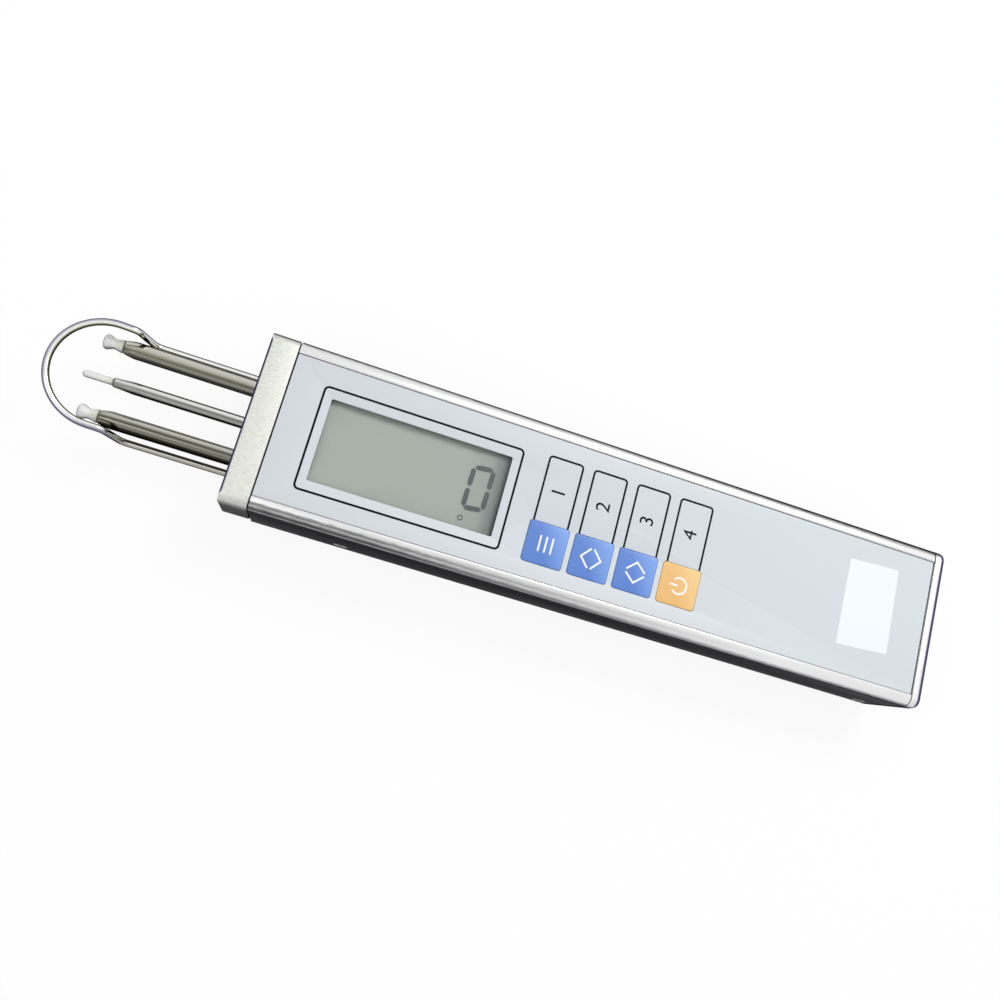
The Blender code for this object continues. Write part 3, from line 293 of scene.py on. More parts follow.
def finish(
    name, tint, roughness=(0.3, 0.45), darken=0.06, scale=900, stretch=(1, 1, 1), bump=0.04,
    depth=0.00002, **sockets,
):
    """A material with the fine grain on colour, roughness and height. Tint is a colour, or a
    function that makes the colour's output in the material's tree."""
    material = bpy.data.materials.new(name)
    material.use_nodes = True
    tree = material.node_tree
    shader = tree.nodes["Principled BSDF"]
    for socket, value in sockets.items():
        shader.inputs[socket.replace("_", " ")].default_value = value
    place = added(tree, "ShaderNodeTexCoord").outputs["Object"]
    smoothest, roughest = roughness
    grain = added(
        tree, "ShaderNodeGroup", [("node_tree", fine_grain)], Place=place, Stretch=stretch,
        Scale=scale, Darken=darken, Smoothest=smoothest, Roughest=roughest,
        Tint=tint(tree, place) if callable(tint) else tint,
    )
    tree.links.new(grain.outputs["Color"], shader.inputs["Base Color"])
    tree.links.new(grain.outputs["Roughness"], shader.inputs["Roughness"])
    if bump:
        relief = added(
            tree, "ShaderNodeBump", Strength=bump, Distance=depth, Height=grain.outputs["Height"]
        )
        tree.links.new(relief.outputs["Normal"], shader.inputs["Normal"])
    return material


def banded(tree, value, low, high, stops):
    """The colour at a value, from stops between low and high: a value, then paint's levels."""
    span = added(tree, "ShaderNodeMapRange", Value=value, From_Min=low, From_Max=high)
    ramp = added(tree, "ShaderNodeValToRGB", Fac=span.outputs["Result"])
    band = ramp.color_ramp
    while len(band.elements) < len(stops):
        band.elements.new(1)
    for element, (at, *levels) in zip(band.elements, stops):
        element.position = (at - low) / (high - low)
        element.color = paint(*levels)
    return ramp.outputs["Color"]


def round_the_rail(tree, place):
    """Millimetres from the middle line, out over the rail and down the side. Less than zero on
    the near side."""
    where = coordinates(tree, place)
    out = calculated(tree, "ABSOLUTE", where["Y"])
    down = calculated(tree, "SUBTRACT", rail_top, where["Z"])
    reach = calculated(tree, "MULTIPLY", calculated(tree, "ADD", out, down), 1000)
    painted_reflection_streaks = added(tree, "ShaderNodeMapping", Vector=place, Scale=(0.16, 1, 1))
    noise = added(tree, "ShaderNodeTexNoise", Vector=painted_reflection_streaks.outputs["Vector"], Scale=2600)
    wander = calculated(tree, "SUBTRACT", noise.outputs["Fac"], 0.5)
    wander = calculated(tree, "MULTIPLY", wander, 1.1)
    # The lip beside the panel stays straight: the wandering edges of the painted reflection streaks
    # start past it.
    share = calculated(tree, "MULTIPLY", calculated(tree, "SUBTRACT", reach, 17.3), 1.2)
    share = calculated(tree, "MINIMUM", calculated(tree, "MAXIMUM", share, 0), 1)
    round_it = calculated(tree, "ADD", reach, calculated(tree, "MULTIPLY", wander, share))
    return calculated(tree, "MULTIPLY", round_it, calculated(tree, "SIGN", where["Y"]))


# Painted reflections: soft dark stripes are painted into the satin's colour over the near rail, and
# they fade towards the tail. The side bands are partly dark anodising and partly painted dark
# reflection.
side_anodising_and_reflections = [(24.0, 24, 3), (36.6, 20, 2), (38.0, 84, 2), (39.2, 12)]
near_reflections_at_head = [
    (16.2, 215), (16.7, 160), (17.0, 222), (17.6, 208), (18.0, 198), (18.35, 150), (18.75, 108),
    (19.1, 140), (19.5, 190), (19.9, 140), (20.4, 80), (20.9, 74), (21.4, 158), (21.9, 166, 4),
    (22.6, 44, 4),
]
near_reflections_at_tail = [
    (16.2, 215), (16.7, 190), (16.95, 226), (17.4, 234), (20.1, 236), (20.6, 190, 2),
    (21.3, 160, 4), (21.8, 124, 4), (22.3, 44, 10),
]
far_reflections_at_head = [
    (16.2, 215), (16.7, 150), (16.95, 214), (17.4, 224), (19.3, 222), (19.9, 180), (20.4, 100),
    (21.2, 40),
]
far_reflections_at_tail = [
    (16.2, 215), (16.7, 170), (16.95, 222), (17.4, 228), (18.4, 226), (19.0, 190), (19.6, 130),
    (20.4, 40),
]


def both_sides(tree, signed, near, far):
    """The painted reflections round both rails and sides, over the sides' dark anodising, from near
    and far stops.
    """
    stops = [(-at, *levels) for at, *levels in reversed(near + side_anodising_and_reflections)] + far + side_anodising_and_reflections
    return banded(tree, signed, -43, 43, stops)


def mixed(tree, share, first, second, way="MIX"):
    """A colour between two colours."""
    mix = added(
        tree, "ShaderNodeMix", [("data_type", "RGBA"), ("blend_type", way)], A=first, B=second,
        Factor=1 if share is None else share,
    )
    return mix.outputs["Result"]


def rail_tint(tree, place):
    """The painted reflection bands of the rails and sides, which change from the head to the tail.
    """
    signed = round_the_rail(tree, place)
    towards_tail = added(
        tree, "ShaderNodeMapRange", Value=coordinates(tree, place)["X"], From_Min=-0.030,
        From_Max=0.070,
    )
    head = both_sides(tree, signed, near_reflections_at_head, far_reflections_at_head)
    tail = both_sides(tree, signed, near_reflections_at_tail, far_reflections_at_tail)
    return mixed(tree, towards_tail.outputs["Result"], head, tail)


rail_finish = finish(
    "satin_extrusion", rail_tint, roughness=(0.30, 0.42), darken=0.05, scale=700,
    stretch=(0.04, 1, 1), bump=0.05, Metallic=0.95, Specular_Tint=(0.08, 0.08, 0.1, 1),
)

outside = rounded(
    [
        (-housing_half, 0, base_corner), (housing_half, 0, base_corner),
        (housing_half, rail_top, rail_corner), (panel_half, rail_top, rail_lip),
        (panel_half, recess_height, 0), (-panel_half, recess_height, 0),
        (-panel_half, rail_top, rail_lip), (-housing_half, rail_top, rail_corner),
    ]
)
far_wall = [(cavity_half, floor_height, cavity_corner)]
for rib_height in rib_heights:
    rib_tip, rib_top = cavity_half - rib_reach, rib_height + rib_thickness
    far_wall += [(cavity_half, rib_height, 0), (rib_tip, rib_height, 0)]
    far_wall += [(rib_tip, rib_top, 0), (cavity_half, rib_top, 0)]
far_wall.append((cavity_half, ceiling_height, cavity_corner))
cavity = rounded(far_wall + [(-across, up, radius) for across, up, radius in reversed(far_wall)])
countersink = side_screw_head + bore_gap
screw_bore = side_screw_shank + bore_gap
side_bore = turned(
    [
        (1 * mm, 0), (1 * mm, countersink), (0, countersink),
        (screw_bore - countersink, screw_bore), (-side_screw_length - bore_gap, screw_bore),
        (-side_screw_length - bore_gap, 0),
    ]
)
wall_middle = (recess_height + ceiling_height) / 2
key_row_middle = (key_centres[0] + key_centres[3]) / 2
display_cut = slab([rectangle(*display_cut_size)], cut_depth)
key_cut = slab([rectangle(*key_cut_size)], cut_depth)
housing_cuts = [
    (display_cut, Matrix.Translation((display_middle, display_offset, wall_middle)), "DIFFERENCE"),
    (key_cut, Matrix.Translation((key_row_middle, key_offset, wall_middle)), "DIFFERENCE"),
]
side_bores = []
for x, side in side_screw_places:
    bore_place = Matrix.Translation((x, side * (housing_half - side_screw_sink), side_screw_height))
    bore_turn = Matrix.Rotation(-side * pi / 2, 4, "X")
    side_bores.append((side_bore, bore_place @ bore_turn, "DIFFERENCE"))
extrusion = slab([outside, cavity], housing_back - housing_front, 0.12 * mm)
extrusion.transform(Matrix.Translation(((housing_front + housing_back) / 2, 0, 0)) @ section_turn)
housing_mesh = shaped(extrusion, housing_cuts + side_bores, "housing")
piece("housing", housing_mesh, rail_finish, "housing", ["extruded_housing"])


# The head block is a machined aluminium bar with a satin, fine-grained finish. Its spigot slides
# into the extrusion, and it is bored for the three pins and for both arms of the guard bow.
head_face, head_back = -64.282 * mm, -57.932 * mm
head_half, head_base, head_top = 20.0 * mm, 1.0 * mm, 21.8 * mm
head_top_corner, head_base_corner, head_edge = 2.5 * mm, 3.6 * mm, 0.16 * mm
pin_height, post_spread, bow_spread, arm_height = 11.001 * mm, 8.45 * mm, 11.75 * mm, 7.301 * mm
post_bore, pin_bore, bow_bore, bore_length = 2.2 * mm, 1.85 * mm, 1.0 * mm, 24 * mm
frame_screw_middle, frame_screw_spread, frame_screw_height = -49.33 * mm, 3.2 * mm, 6.7 * mm
frame_screw_bore, frame_screw_bore_length = 1.3 * mm, 21.6 * mm
spigot_half, spigot_base, spigot_ledge = 17.9 * mm, 2.1 * mm, 13.8 * mm
spigot_shoulder, spigot_top = 16.5 * mm, 14.6 * mm
head_spigot_back = -54.632 * mm
axis_turn = Matrix.Rotation(pi / 2, 4, "Y")


def spigot(length):
    """The stepped bar that slides into the extrusion below the board, about its middle."""
    side = [(spigot_half, spigot_base), (spigot_half, spigot_ledge)]
    side += [(spigot_shoulder, spigot_ledge), (spigot_shoulder, spigot_top)]
    other = [(-across, up) for across, up in reversed(side)]
    return slab([rounded([(*corner, 0) for corner in side + other])], length)


def rod(radius, length, sides=48):
    """A round bar along its own Z, about its middle."""
    half = length / 2
    return turned([(-half, 0), (-half, radius), (half, radius), (half, 0)], sides)


def head_tint(tree, place):
    """Off-white on top, with a painted reflection that turns grey and then dark over the rounding
    of its long ends.
    """
    where = coordinates(tree, place)
    out = calculated(tree, "ABSOLUTE", where["Y"])
    down = calculated(tree, "SUBTRACT", head_top, where["Z"])
    reach = calculated(tree, "MULTIPLY", calculated(tree, "ADD", out, down), 1000)
    signed = calculated(tree, "MULTIPLY", reach, calculated(tree, "SIGN", where["Y"]))
    near = [
        (19.8, 214, 215, 208), (20.5, 218, 219, 213), (20.9, 200, 201, 197), (21.3, 176, 177, 174),
        (21.7, 164, 165, 162), (22.4, 148, 148, 146), (23.2, 126, 126, 125), (24.6, 88, 88, 88),
        (28.0, 66, 66, 67), (38.0, 44, 44, 46),
    ]
    far = [(19.2, 214, 216, 209), (19.7, 190, 192, 186), (20.2, 84, 85, 84), (21.4, 44, 44, 46)]
    stops = [(-at, *levels) for at, *levels in reversed(near)] + far
    round_it = banded(tree, signed, -42, 42, stops)
    # A thin dark line of painted reflection runs along the top's front edge.
    under = calculated(tree, "MINIMUM", calculated(tree, "MULTIPLY", down, 2000), 3)
    from_edge = calculated(tree, "ADD", past(tree, where["X"], head_face), under)
    edge = banded(
        tree, from_edge, 0, 1.2,
        [(0.0, 26, 22, 46), (0.3, 52, 46, 72), (0.5, 190, 6), (0.7, 255)],
    )
    return mixed(tree, None, round_it, edge, "DARKEN")


head_finish = finish(
    "blasted_aluminium", head_tint, roughness=(0.42, 0.62), darken=0.2, scale=2300,
    stretch=(0.4, 1, 1), bump=0.6, Metallic=0.75, Specular_Tint=(0.3, 0.3, 0.32, 1),
)
head_section = rounded(
    [
        (-head_half, head_base, head_base_corner), (head_half, head_base, head_base_corner),
        (head_half, head_top, head_top_corner), (-head_half, head_top, head_top_corner),
    ],
    14,
)
head_mesh = slab([head_section], head_back - head_face, head_edge, 3)
head_mesh.transform(Matrix.Translation(((head_face + head_back) / 2, 0, 0)) @ section_turn)
spigot_length = head_spigot_back - head_back + 2 * mm
head_cuts = [
    (
        spigot(spigot_length),
        Matrix.Translation((head_spigot_back - spigot_length / 2, 0, 0)) @ section_turn,
        "UNION",
    )
]
for x, across, height, radius, length in (
    (head_face, -post_spread, pin_height, post_bore, bore_length),
    (head_face, post_spread, pin_height, post_bore, bore_length),
    (head_face, 0, pin_height, pin_bore, bore_length),
    (head_face, -bow_spread, arm_height, bow_bore, bore_length),
    (head_face, bow_spread, arm_height, bow_bore, bore_length),
    (
        frame_screw_middle, -frame_screw_spread, frame_screw_height, frame_screw_bore,
        frame_screw_bore_length,
    ),
    (
        frame_screw_middle, frame_screw_spread, frame_screw_height, frame_screw_bore,
        frame_screw_bore_length,
    ),
):
    place = Matrix.Translation((x, across, height)) @ axis_turn
    head_cuts.append((rod(radius, length), place, "DIFFERENCE"))
piece(
    "head_bar", shaped(head_mesh, head_cuts, "head_bar"), head_finish, "housing", ["head_block"],
)


# The end plate closes the tail. It has the extrusion's outline, rounded plan corners, and a
# spigot that slides into the extrusion, where the tail's side screws hold it.
plate_front, plate_back = 105.968 * mm, 108.218 * mm
plate_plan_corner, plate_edge = 2.1 * mm, 0.2 * mm
plate_spigot_front = 100.668 * mm
hollow_length, hollow_width, hollow_depth = 4.7 * mm, 27.8 * mm, 20 * mm
hollow_middle, hollow_height = 102.868 * mm, 14.3 * mm


def plate_tint(tree, place):
    """Bright on top, with a painted dark reflection over its outer edge, and dark down its sides,
    partly as anodising and partly as painted reflection.
    """
    where = coordinates(tree, place)
    painted_outer_edge_line = banded(
        tree, past(tree, where["X"], plate_back), -2.5, 0.1,
        [(-2.3, 232), (-0.95, 230, 6), (-0.62, 88, 82, 118), (0, 34, 30, 56)],
    )
    near = [(16.2, 232), (20.4, 230), (21.2, 180, 8), (22.2, 50, 10)]
    far = [(16.2, 232), (18.6, 224), (19.4, 140), (20.2, 34, 6)]
    side = both_sides(tree, round_the_rail(tree, place), near, far)
    return mixed(tree, None, painted_outer_edge_line, side, "DARKEN")


plate_finish = finish(
    "end_plate_finish", plate_tint, roughness=(0.32, 0.46), darken=0.06, scale=1300, bump=0.08,
    Metallic=0.95, Specular_Tint=(0.08, 0.08, 0.1, 1),
)
plate_section = rounded(
    [
        (-housing_half, 0, base_corner), (housing_half, 0, base_corner),
        (housing_half, rail_top, rail_corner), (-housing_half, rail_top, rail_corner),
    ],
    14,
)
plate_mesh = slab([plate_section], plate_back - plate_front, plate_edge, 2)
plate_mesh.transform(Matrix.Translation(((plate_front + plate_back) / 2, 0, 0)) @ section_turn)
plan = rounded(
    [
        (plate_front - 2 * mm, -housing_half - mm, 0),
        (plate_back, -housing_half, plate_plan_corner),
        (plate_back, housing_half, plate_plan_corner), (plate_front - 2 * mm, housing_half + mm, 0),
    ]
)
plate_spigot_length = plate_front + mm - plate_spigot_front
hollow = slab([rectangle(hollow_length, hollow_width)], hollow_depth)
plate_cuts = [
    (slab([plan], 60 * mm), Matrix.Translation((0, 0, rail_top / 2)), "INTERSECT"),
    (
        spigot(plate_spigot_length),
        Matrix.Translation((plate_spigot_front + plate_spigot_length / 2, 0, 0)) @ section_turn,
        "UNION",
    ),
    (hollow, Matrix.Translation((hollow_middle, 0, hollow_height)), "DIFFERENCE"),
]
plate_cuts += side_bores[2:]
piece(
    "tail_plate", shaped(plate_mesh, plate_cuts, "tail_plate"), plate_finish, "housing",
    ["end_plate"],
)


# The front overlay is a thin polyester membrane with a fine matt texture, bluish grey, glued into
# the recess between the rails. A dark line is printed round the display, an open frame above
# each key, and a blank white field near the tail.
overlay_front, overlay_back, overlay_half = -57.58 * mm, 105.6 * mm, 16.7 * mm
overlay_top, overlay_thickness, ink_thickness = 21.6 * mm, 0.5 * mm, 0.02 * mm
overlay_middle = (overlay_front + overlay_back) / 2
display_opening, key_opening = (42.95 * mm, 19.25 * mm, 0.4 * mm), (9.86 * mm, 9.88 * mm, 0.8 * mm)
bezel_size, line_width, frame_width = (47.2 * mm, 24.0 * mm, 1.0 * mm), 0.5 * mm, 0.48 * mm
frame_ends = ((3.72, 12.02), (14.92, 23.17), (26.07, 34.32), (37.22, 45.47))
frame_near, frame_far, frame_corner = -3.28 * mm, 12.3 * mm, 0.8 * mm
figure_height, figure_offset = 3.4 * mm, 4.4 * mm
field_corners = [(83.47, -10.18, 0.4), (97.23, -9.2, 0.4), (96.59, 11.94, 0.4), (83.24, 11.22, 0.4)]


def overlay_tint(tree, place):
    """Bluish grey, a little lighter towards the tail."""
    along = past(tree, coordinates(tree, place)["X"], 0)
    return banded(tree, along, -60, 106, [(-57, 213, 218, 223), (100, 217, 224, 228)])


overlay_finish = finish(
    "membrane_overlay", overlay_tint, roughness=(0.42, 0.55), darken=0.025, scale=1800, bump=0.08,
    Specular_IOR_Level=0.3,
)
openings = [rectangle(*display_opening, (display_middle - overlay_middle, display_offset))]
for x in key_centres:
    openings.append(rectangle(*key_opening, (x - overlay_middle, key_offset)))
overlay_outline = rectangle(overlay_back - overlay_front, 2 * overlay_half, 0.2 * mm)
overlay_mesh = slab([overlay_outline, *openings], overlay_thickness, 0.04 * mm, 1)
overlay_mesh.transform(Matrix.Translation((overlay_middle, 0, overlay_top - overlay_thickness / 2)))
piece("membrane", overlay_mesh, overlay_finish, "housing", ["front_overlay"])


def prism(work, points, low, high):
    """A closed flat block on an outline, added to a mesh in the making."""
    base = [work.verts.new((x, y, low)) for x, y in points]
    top = [work.verts.new((x, y, high)) for x, y in points]
    work.faces.new(list(reversed(base)))
    work.faces.new(top)
    for k in range(len(points)):
        after = (k + 1) % len(points)
        work.faces.new((base[k], base[after], top[after], top[k]))


def stroke(work, path, width, low, high, closed=False):
    """A flat closed band of one width that follows a path, added to a mesh in the making."""
    path = [Vector(point) for point in path]
    count = len(path)
    sides = ([], [])
    for k, here in enumerate(path):
        before = path[k - 1] if closed or k else here
        after = path[(k + 1) % count] if closed or k < count - 1 else here
        ahead = ((after - here).normalized() + (here - before).normalized()).normalized()
        across = Vector((-ahead.y, ahead.x))
        run = (after - here) if (after - here).length else (here - before)
        lean = max(abs(across.dot(Vector((-run.y, run.x)).normalized())), 0.4)
        for side, points in zip((-1, 1), sides):
            points.append(here + across * side * width / 2 / lean)
    corners = []
    for points in sides:
        corners.append([(work.verts.new((*p, low)), work.verts.new((*p, high))) for p in points])
    right, left = corners
    for k in range(count if closed else count - 1):
        after = (k + 1) % count
        (ra, rb), (rc, rd), (la, lb), (lc, ld) = right[k], right[after], left[k], left[after]
        for face in ((rb, rd, ld, lb), (la, lc, rc, ra), (ra, rc, rd, rb), (lc, la, lb, ld)):
            work.faces.new(face)
    if not closed:
        work.faces.new((right[0][0], right[0][1], left[0][1], left[0][0]))
        work.faces.new((left[-1][0], left[-1][1], right[-1][1], right[-1][0]))


def figure(text, height, place, turn, low, high):
    """Plain figures as a closed flat mesh."""
    words = bpy.data.curves.new("figure", "FONT")
    words.body = text
    words.size = height / 0.7
    words.align_x, words.align_y = "CENTER", "CENTER"
    words.extrude = (high - low) / 2
    mesh = evaluated_mesh(bpy.data.objects.new("figure", words))
    mesh.transform(
        Matrix.Translation((*place, (low + high) / 2)) @ Matrix.Rotation(turn, 4, "Z")
    )
    return mesh


dark_ink = finish(
    "dark_ink", paint(4, 7, 13), roughness=(0.4, 0.5), darken=0.1, scale=2000, bump=0,
    Specular_IOR_Level=0.08,
)
white_ink = finish(
    "white_ink", paint(240, 246, 249), roughness=(0.4, 0.5), darken=0.015, scale=2000, bump=0,
)
ink_low, ink_high = overlay_top - ink_thickness / 2, overlay_top + ink_thickness
printing = bmesh.new()
bezel = rectangle(*bezel_size, (display_middle, display_offset))
stroke(printing, bezel, line_width, ink_low, ink_high, closed=True)
for number, (start, end) in enumerate(frame_ends, 1):
    left, right = start * mm, end * mm
    corners = [(left, frame_near, 0), (left, frame_far, frame_corner)]
    corners += [(right, frame_far, frame_corner), (right, frame_near, 0)]
    stroke(printing, rounded(corners, 6), frame_width, ink_low, ink_high)
    middle = ((left + right) / 2, figure_offset)
    printing.from_mesh(figure(str(number), figure_height, middle, pi / 2, ink_low, ink_high))
piece("panel_printing", welded(printing, "printing"), dark_ink, "housing", ())
field = bmesh.new()
field_outline = rounded([[size * mm for size in corner] for corner in field_corners])
prism(field, field_outline, ink_low, ink_high)
piece("blank_field", welded(field, "field"), white_ink, "housing", ())


# The display window is a clear acrylic pane under the overlay's opening. The liquid crystal
# glass below it is greenish grey, and one figure's segments show dark in it.
window_finish = finish(
    "clear_window", (0.97, 0.98, 0.97, 1), roughness=(0.01, 0.03), darken=0.01, scale=300, bump=0,
    Transmission_Weight=1.0, IOR=1.35,
)
window_tree = window_finish.node_tree
light_path = window_tree.nodes.new("ShaderNodeLightPath")
clear = window_tree.nodes.new("ShaderNodeBsdfTransparent")
through = window_tree.nodes.new("ShaderNodeMixShader")
window_tree.links.new(light_path.outputs["Is Shadow Ray"], through.inputs["Fac"])
window_tree.links.new(window_tree.nodes["Principled BSDF"].outputs["BSDF"], through.inputs[1])
window_tree.links.new(clear.outputs["BSDF"], through.inputs[2])
window_tree.links.new(
    through.outputs["Shader"], window_tree.nodes["Material Output"].inputs["Surface"]
)
nodes["display_window"].data.materials[0] = window_finish


def glass_tint(tree, place):
    """Greenish grey, with a painted shadow of the opening's wall that deepens towards the tail end
    of the opening.
    """
    opening_back = display_middle + 21.4 * mm
    return banded(
        tree, past(tree, coordinates(tree, place)["X"], opening_back), -44, 0,
        [
            (-44, 135, 140, 134), (-9, 130, 136, 131), (-4, 124, 129, 125), (-2.2, 104, 109, 107),
            (-1, 90, 95, 94), (0, 78, 82, 84),
        ],
    )


glass_finish = finish(
    "display_glass_finish", glass_tint, roughness=(0.4, 0.46), darken=0.01, scale=500,
    bump=0, Specular_IOR_Level=0.2,
)
nodes["display_glass"].data.materials[0] = glass_finish
segment_finish = finish(
    "display_segments", paint(56, 64, 65), roughness=(0.4, 0.46), darken=0.05, scale=900, bump=0,
    Specular_IOR_Level=0.2,
)
glass_top = 19.9 * mm
segment_low, segment_high = glass_top - 0.01 * mm, glass_top + 0.02 * mm
digit_corner = Vector((-12.75, -5.2))
digit_across, digit_up = Vector((4.6, 0.5)), Vector((0.25, 9.7))
segment_half, segment_gap = 0.6, 0.14
ring_place, ring_radius, ring_line = (-12.62, -7.74), 0.55, 0.3 * mm
segments = bmesh.new()


def segment(start, end):
    """One pointed segment between two places given as shares of the figure's width and height."""
    places = [digit_corner + digit_across * u + digit_up * v for u, v in (start, end)]
    ahead = (places[1] - places[0]).normalized()
    across = Vector((-ahead.y, ahead.x)) * segment_half
    first, last = places[0] + ahead * segment_gap, places[1] - ahead * segment_gap
    points = [
        first, first + ahead * segment_half - across, last - ahead * segment_half - across, last,
        last - ahead * segment_half + across, first + ahead * segment_half + across,
    ]
    prism(segments, [point * mm for point in points], segment_low, segment_high)


for start, end in (
    ((0, 0), (1, 0)), ((0, 1), (1, 1)),
    ((0, 0), (0, 0.5)), ((0, 0.5), (0, 1)), ((1, 0), (1, 0.5)), ((1, 0.5), (1, 1)),
):
    segment(start, end)
unit_ring = [
    ((ring_place[0] + ring_radius * cos(a)) * mm, (ring_place[1] + ring_radius * sin(a)) * mm)
    for a in [2 * pi * k / 20 for k in range(20)]
]
stroke(segments, unit_ring, ring_line, segment_low, segment_high, closed=True)
piece(
    "display_figure", welded(segments, "segments"), segment_finish, "housing", ()
)


# Four moulded keys stand a little above the overlay, three blue and one amber, each with a
# softly crowned top and a stem down to its switch. White marks are printed on them.
key_length, key_width, key_corner = 9.7 * mm, 9.7 * mm, 0.8 * mm
key_base, key_top, key_crown, key_edge = 20.9 * mm, 21.8 * mm, 0.10 * mm, 0.16 * mm
stem_radius, stem_foot, stem_top = 1.6 * mm, 18.202 * mm, key_base + 0.45 * mm


def key_mesh(x):
    """Rounded edges, then a low crown in rings that shrink to the middle."""
    work = bmesh.new()
    outline = rectangle(key_length, key_width, key_corner)
    levels = [(1, key_base)]
    for step in range(5):
        angle = pi / 2 * step / 4
        inset = key_edge * (1 - cos(angle)) / (key_length / 2)
        levels.append((1 - inset, key_top - key_crown - key_edge * (1 - sin(angle))))
    rim = levels[-1][0]
    for step in range(1, 8):
        share = rim * (1 - step / 8)
        levels.append((share, key_top - key_crown * (share / rim) ** 2))
    rings = []
    for share, height in levels:
        rings.append([work.verts.new((*(point * share), height)) for point in outline])
    for low, high in zip(rings, rings[1:]):
        for k in range(len(outline)):
            after = (k + 1) % len(outline)
            work.faces.new((low[k], low[after], high[after], high[k]))
    work.faces.new(list(reversed(rings[0])))
    middle = work.verts.new((0, 0, key_top))
    for k in range(len(outline)):
        work.faces.new((rings[-1][k], rings[-1][(k + 1) % len(outline)], middle))
    cap = welded(work, "cap")
    stem = rod(stem_radius, stem_top - stem_foot, 32)
    joined = shaped(
        cap, [(stem, Matrix.Translation((0, 0, (stem_foot + stem_top) / 2)), "UNION")], "key"
    )
    joined.transform(Matrix.Translation((x, key_offset, 0)))
    return joined


def moulded(name, deep, pale, x):
    """Moulded plastic with painted light: shaded deeper towards the pin end and lit paler to the
    far tail corner.
    """

    def tint(tree, place):
        where = coordinates(tree, place)
        along = calculated(tree, "SUBTRACT", where["X"], x - key_length / 2)
        across = calculated(tree, "SUBTRACT", where["Y"], key_offset - key_width / 2)
        weight = calculated(tree, "ADD", along, calculated(tree, "MULTIPLY", across, 0.35))
        share = calculated(tree, "MULTIPLY", weight, 1 / (1.35 * key_length))
        return banded(tree, share, 0, 1, [(0.1, *deep), (0.45, *deep), (0.95, *pale)])

    return finish(
        name, tint, roughness=(0.34, 0.44), darken=0.03, scale=1500, bump=0.05,
        Specular_IOR_Level=0.4,
    )


glyph_low, glyph_high, glyph_width = key_top - 0.07 * mm, key_top + 0.012 * mm, 0.43 * mm
glyph_ink = finish(
    "key_mark_ink", paint(246, 248, 250), roughness=(0.35, 0.45), darken=0.01, scale=1500, bump=0,
)


def key_mark(lines, x):
    """White strokes on a key, from lines of points in millimetres from its middle."""
    work = bmesh.new()
    for points in lines:
        path = [(x + u * mm, key_offset + v * mm) for u, v in points]
        stroke(work, path, glyph_width, glyph_low, glyph_high)
    return welded(work, "mark")


power_arc = [
    (1.9 * cos(angle), 1.9 * sin(angle))
    for angle in [radians(180 - 42 - 276 * k / 24) for k in range(25)]
]
key_marks = {
    "menu_key": [[(across, -1.9), (across, 1.9)] for across in (-1.5, 0, 1.5)],
    "down_key": [[(s * 0.35, -2.35), (s * 2.45, 0), (s * 0.35, 2.35)] for s in (-1, 1)],
    "up_key": [[(-2.35, s * 0.35), (0, s * 2.45), (2.35, s * 0.35)] for s in (-1, 1)],
    "power_key": [power_arc, [(-2.3, 0), (-0.3, 0)]],
}
# Each pair is one plastic twice: first in its painted shade, then in its painted light.
key_blue = ((92, 132, 208), (132, 170, 238))
key_amber = ((238, 190, 120), (246, 210, 146))
for (name, lines), x in zip(key_marks.items(), key_centres):
    deep, pale = key_amber if name == "power_key" else key_blue
    slot_name = "key_amber" if name == "power_key" else "key_blue"
    plastic = moulded(f"{name}_plastic", deep, pale, x)
    piece(f"{name}_cap", key_mesh(x), plastic, name, [name])
    piece(f"{name}_mark", key_mark(lines, x), glyph_ink, name, ())


# Two outer posts of ground and polished steel come out of the head block. A white ceramic saddle
# guide, which the yarn runs over, is seated in the tapered end of each.
post_radius, post_end_radius, post_reach, post_foot = 2.0 * mm, 1.6 * mm, 30.7 * mm, -17.8 * mm
pins_turn = Matrix.Rotation(-pi / 2, 4, "Y")


def steel_bands(stops, centre, radius):
    """Painted reflections that lie along a polished pin, from its far edge to its near one."""

    def tint(tree, place):
        where = coordinates(tree, place)
        off = calculated(tree, "SUBTRACT", centre, where["Y"])
        share = calculated(tree, "MULTIPLY", off, 0.5 / radius)
        return banded(tree, calculated(tree, "ADD", share, 0.5), 0, 1, stops)

    return tint


far_post_reflections = [
    (0.0, 24, 24, 20), (0.08, 46, 45, 41), (0.14, 137, 136, 131), (0.20, 190, 189, 182),
    (0.27, 202, 202, 193), (0.38, 190, 190, 178), (0.49, 174, 174, 162), (0.55, 140, 140, 128),
    (0.61, 96, 96, 84), (0.66, 66, 66, 54), (0.72, 100, 101, 89), (0.77, 142, 142, 132),
    (0.83, 122, 122, 114), (0.93, 84, 84, 78), (1.0, 40, 40, 36),
]
near_post_reflections = [
    (0.0, 60, 60, 54), (0.05, 120, 120, 112), (0.12, 196, 196, 186), (0.24, 196, 196, 186),
    (0.33, 176, 176, 166), (0.43, 104, 104, 94), (0.49, 74, 74, 64), (0.57, 132, 132, 122),
    (0.67, 84, 84, 74), (0.74, 128, 128, 118), (0.79, 100, 100, 90), (0.84, 38, 38, 30),
    (1.0, 24, 24, 18),
]
tip, taper, tip_edge, foot_edge = post_reach, 3.0 * mm, 0.2 * mm, 0.2 * mm
seat_radius, seat_depth, stem_depth, guide_stem = 1.0 * mm, 4.2 * mm, 3.9 * mm, 0.8 * mm
post_stations = [(tip - seat_depth, 0), (tip - seat_depth, seat_radius), (tip, seat_radius)]
post_stations += [(tip, 1.4 * mm), (tip - 0.06 * mm, 1.54 * mm), (tip - tip_edge, post_end_radius)]
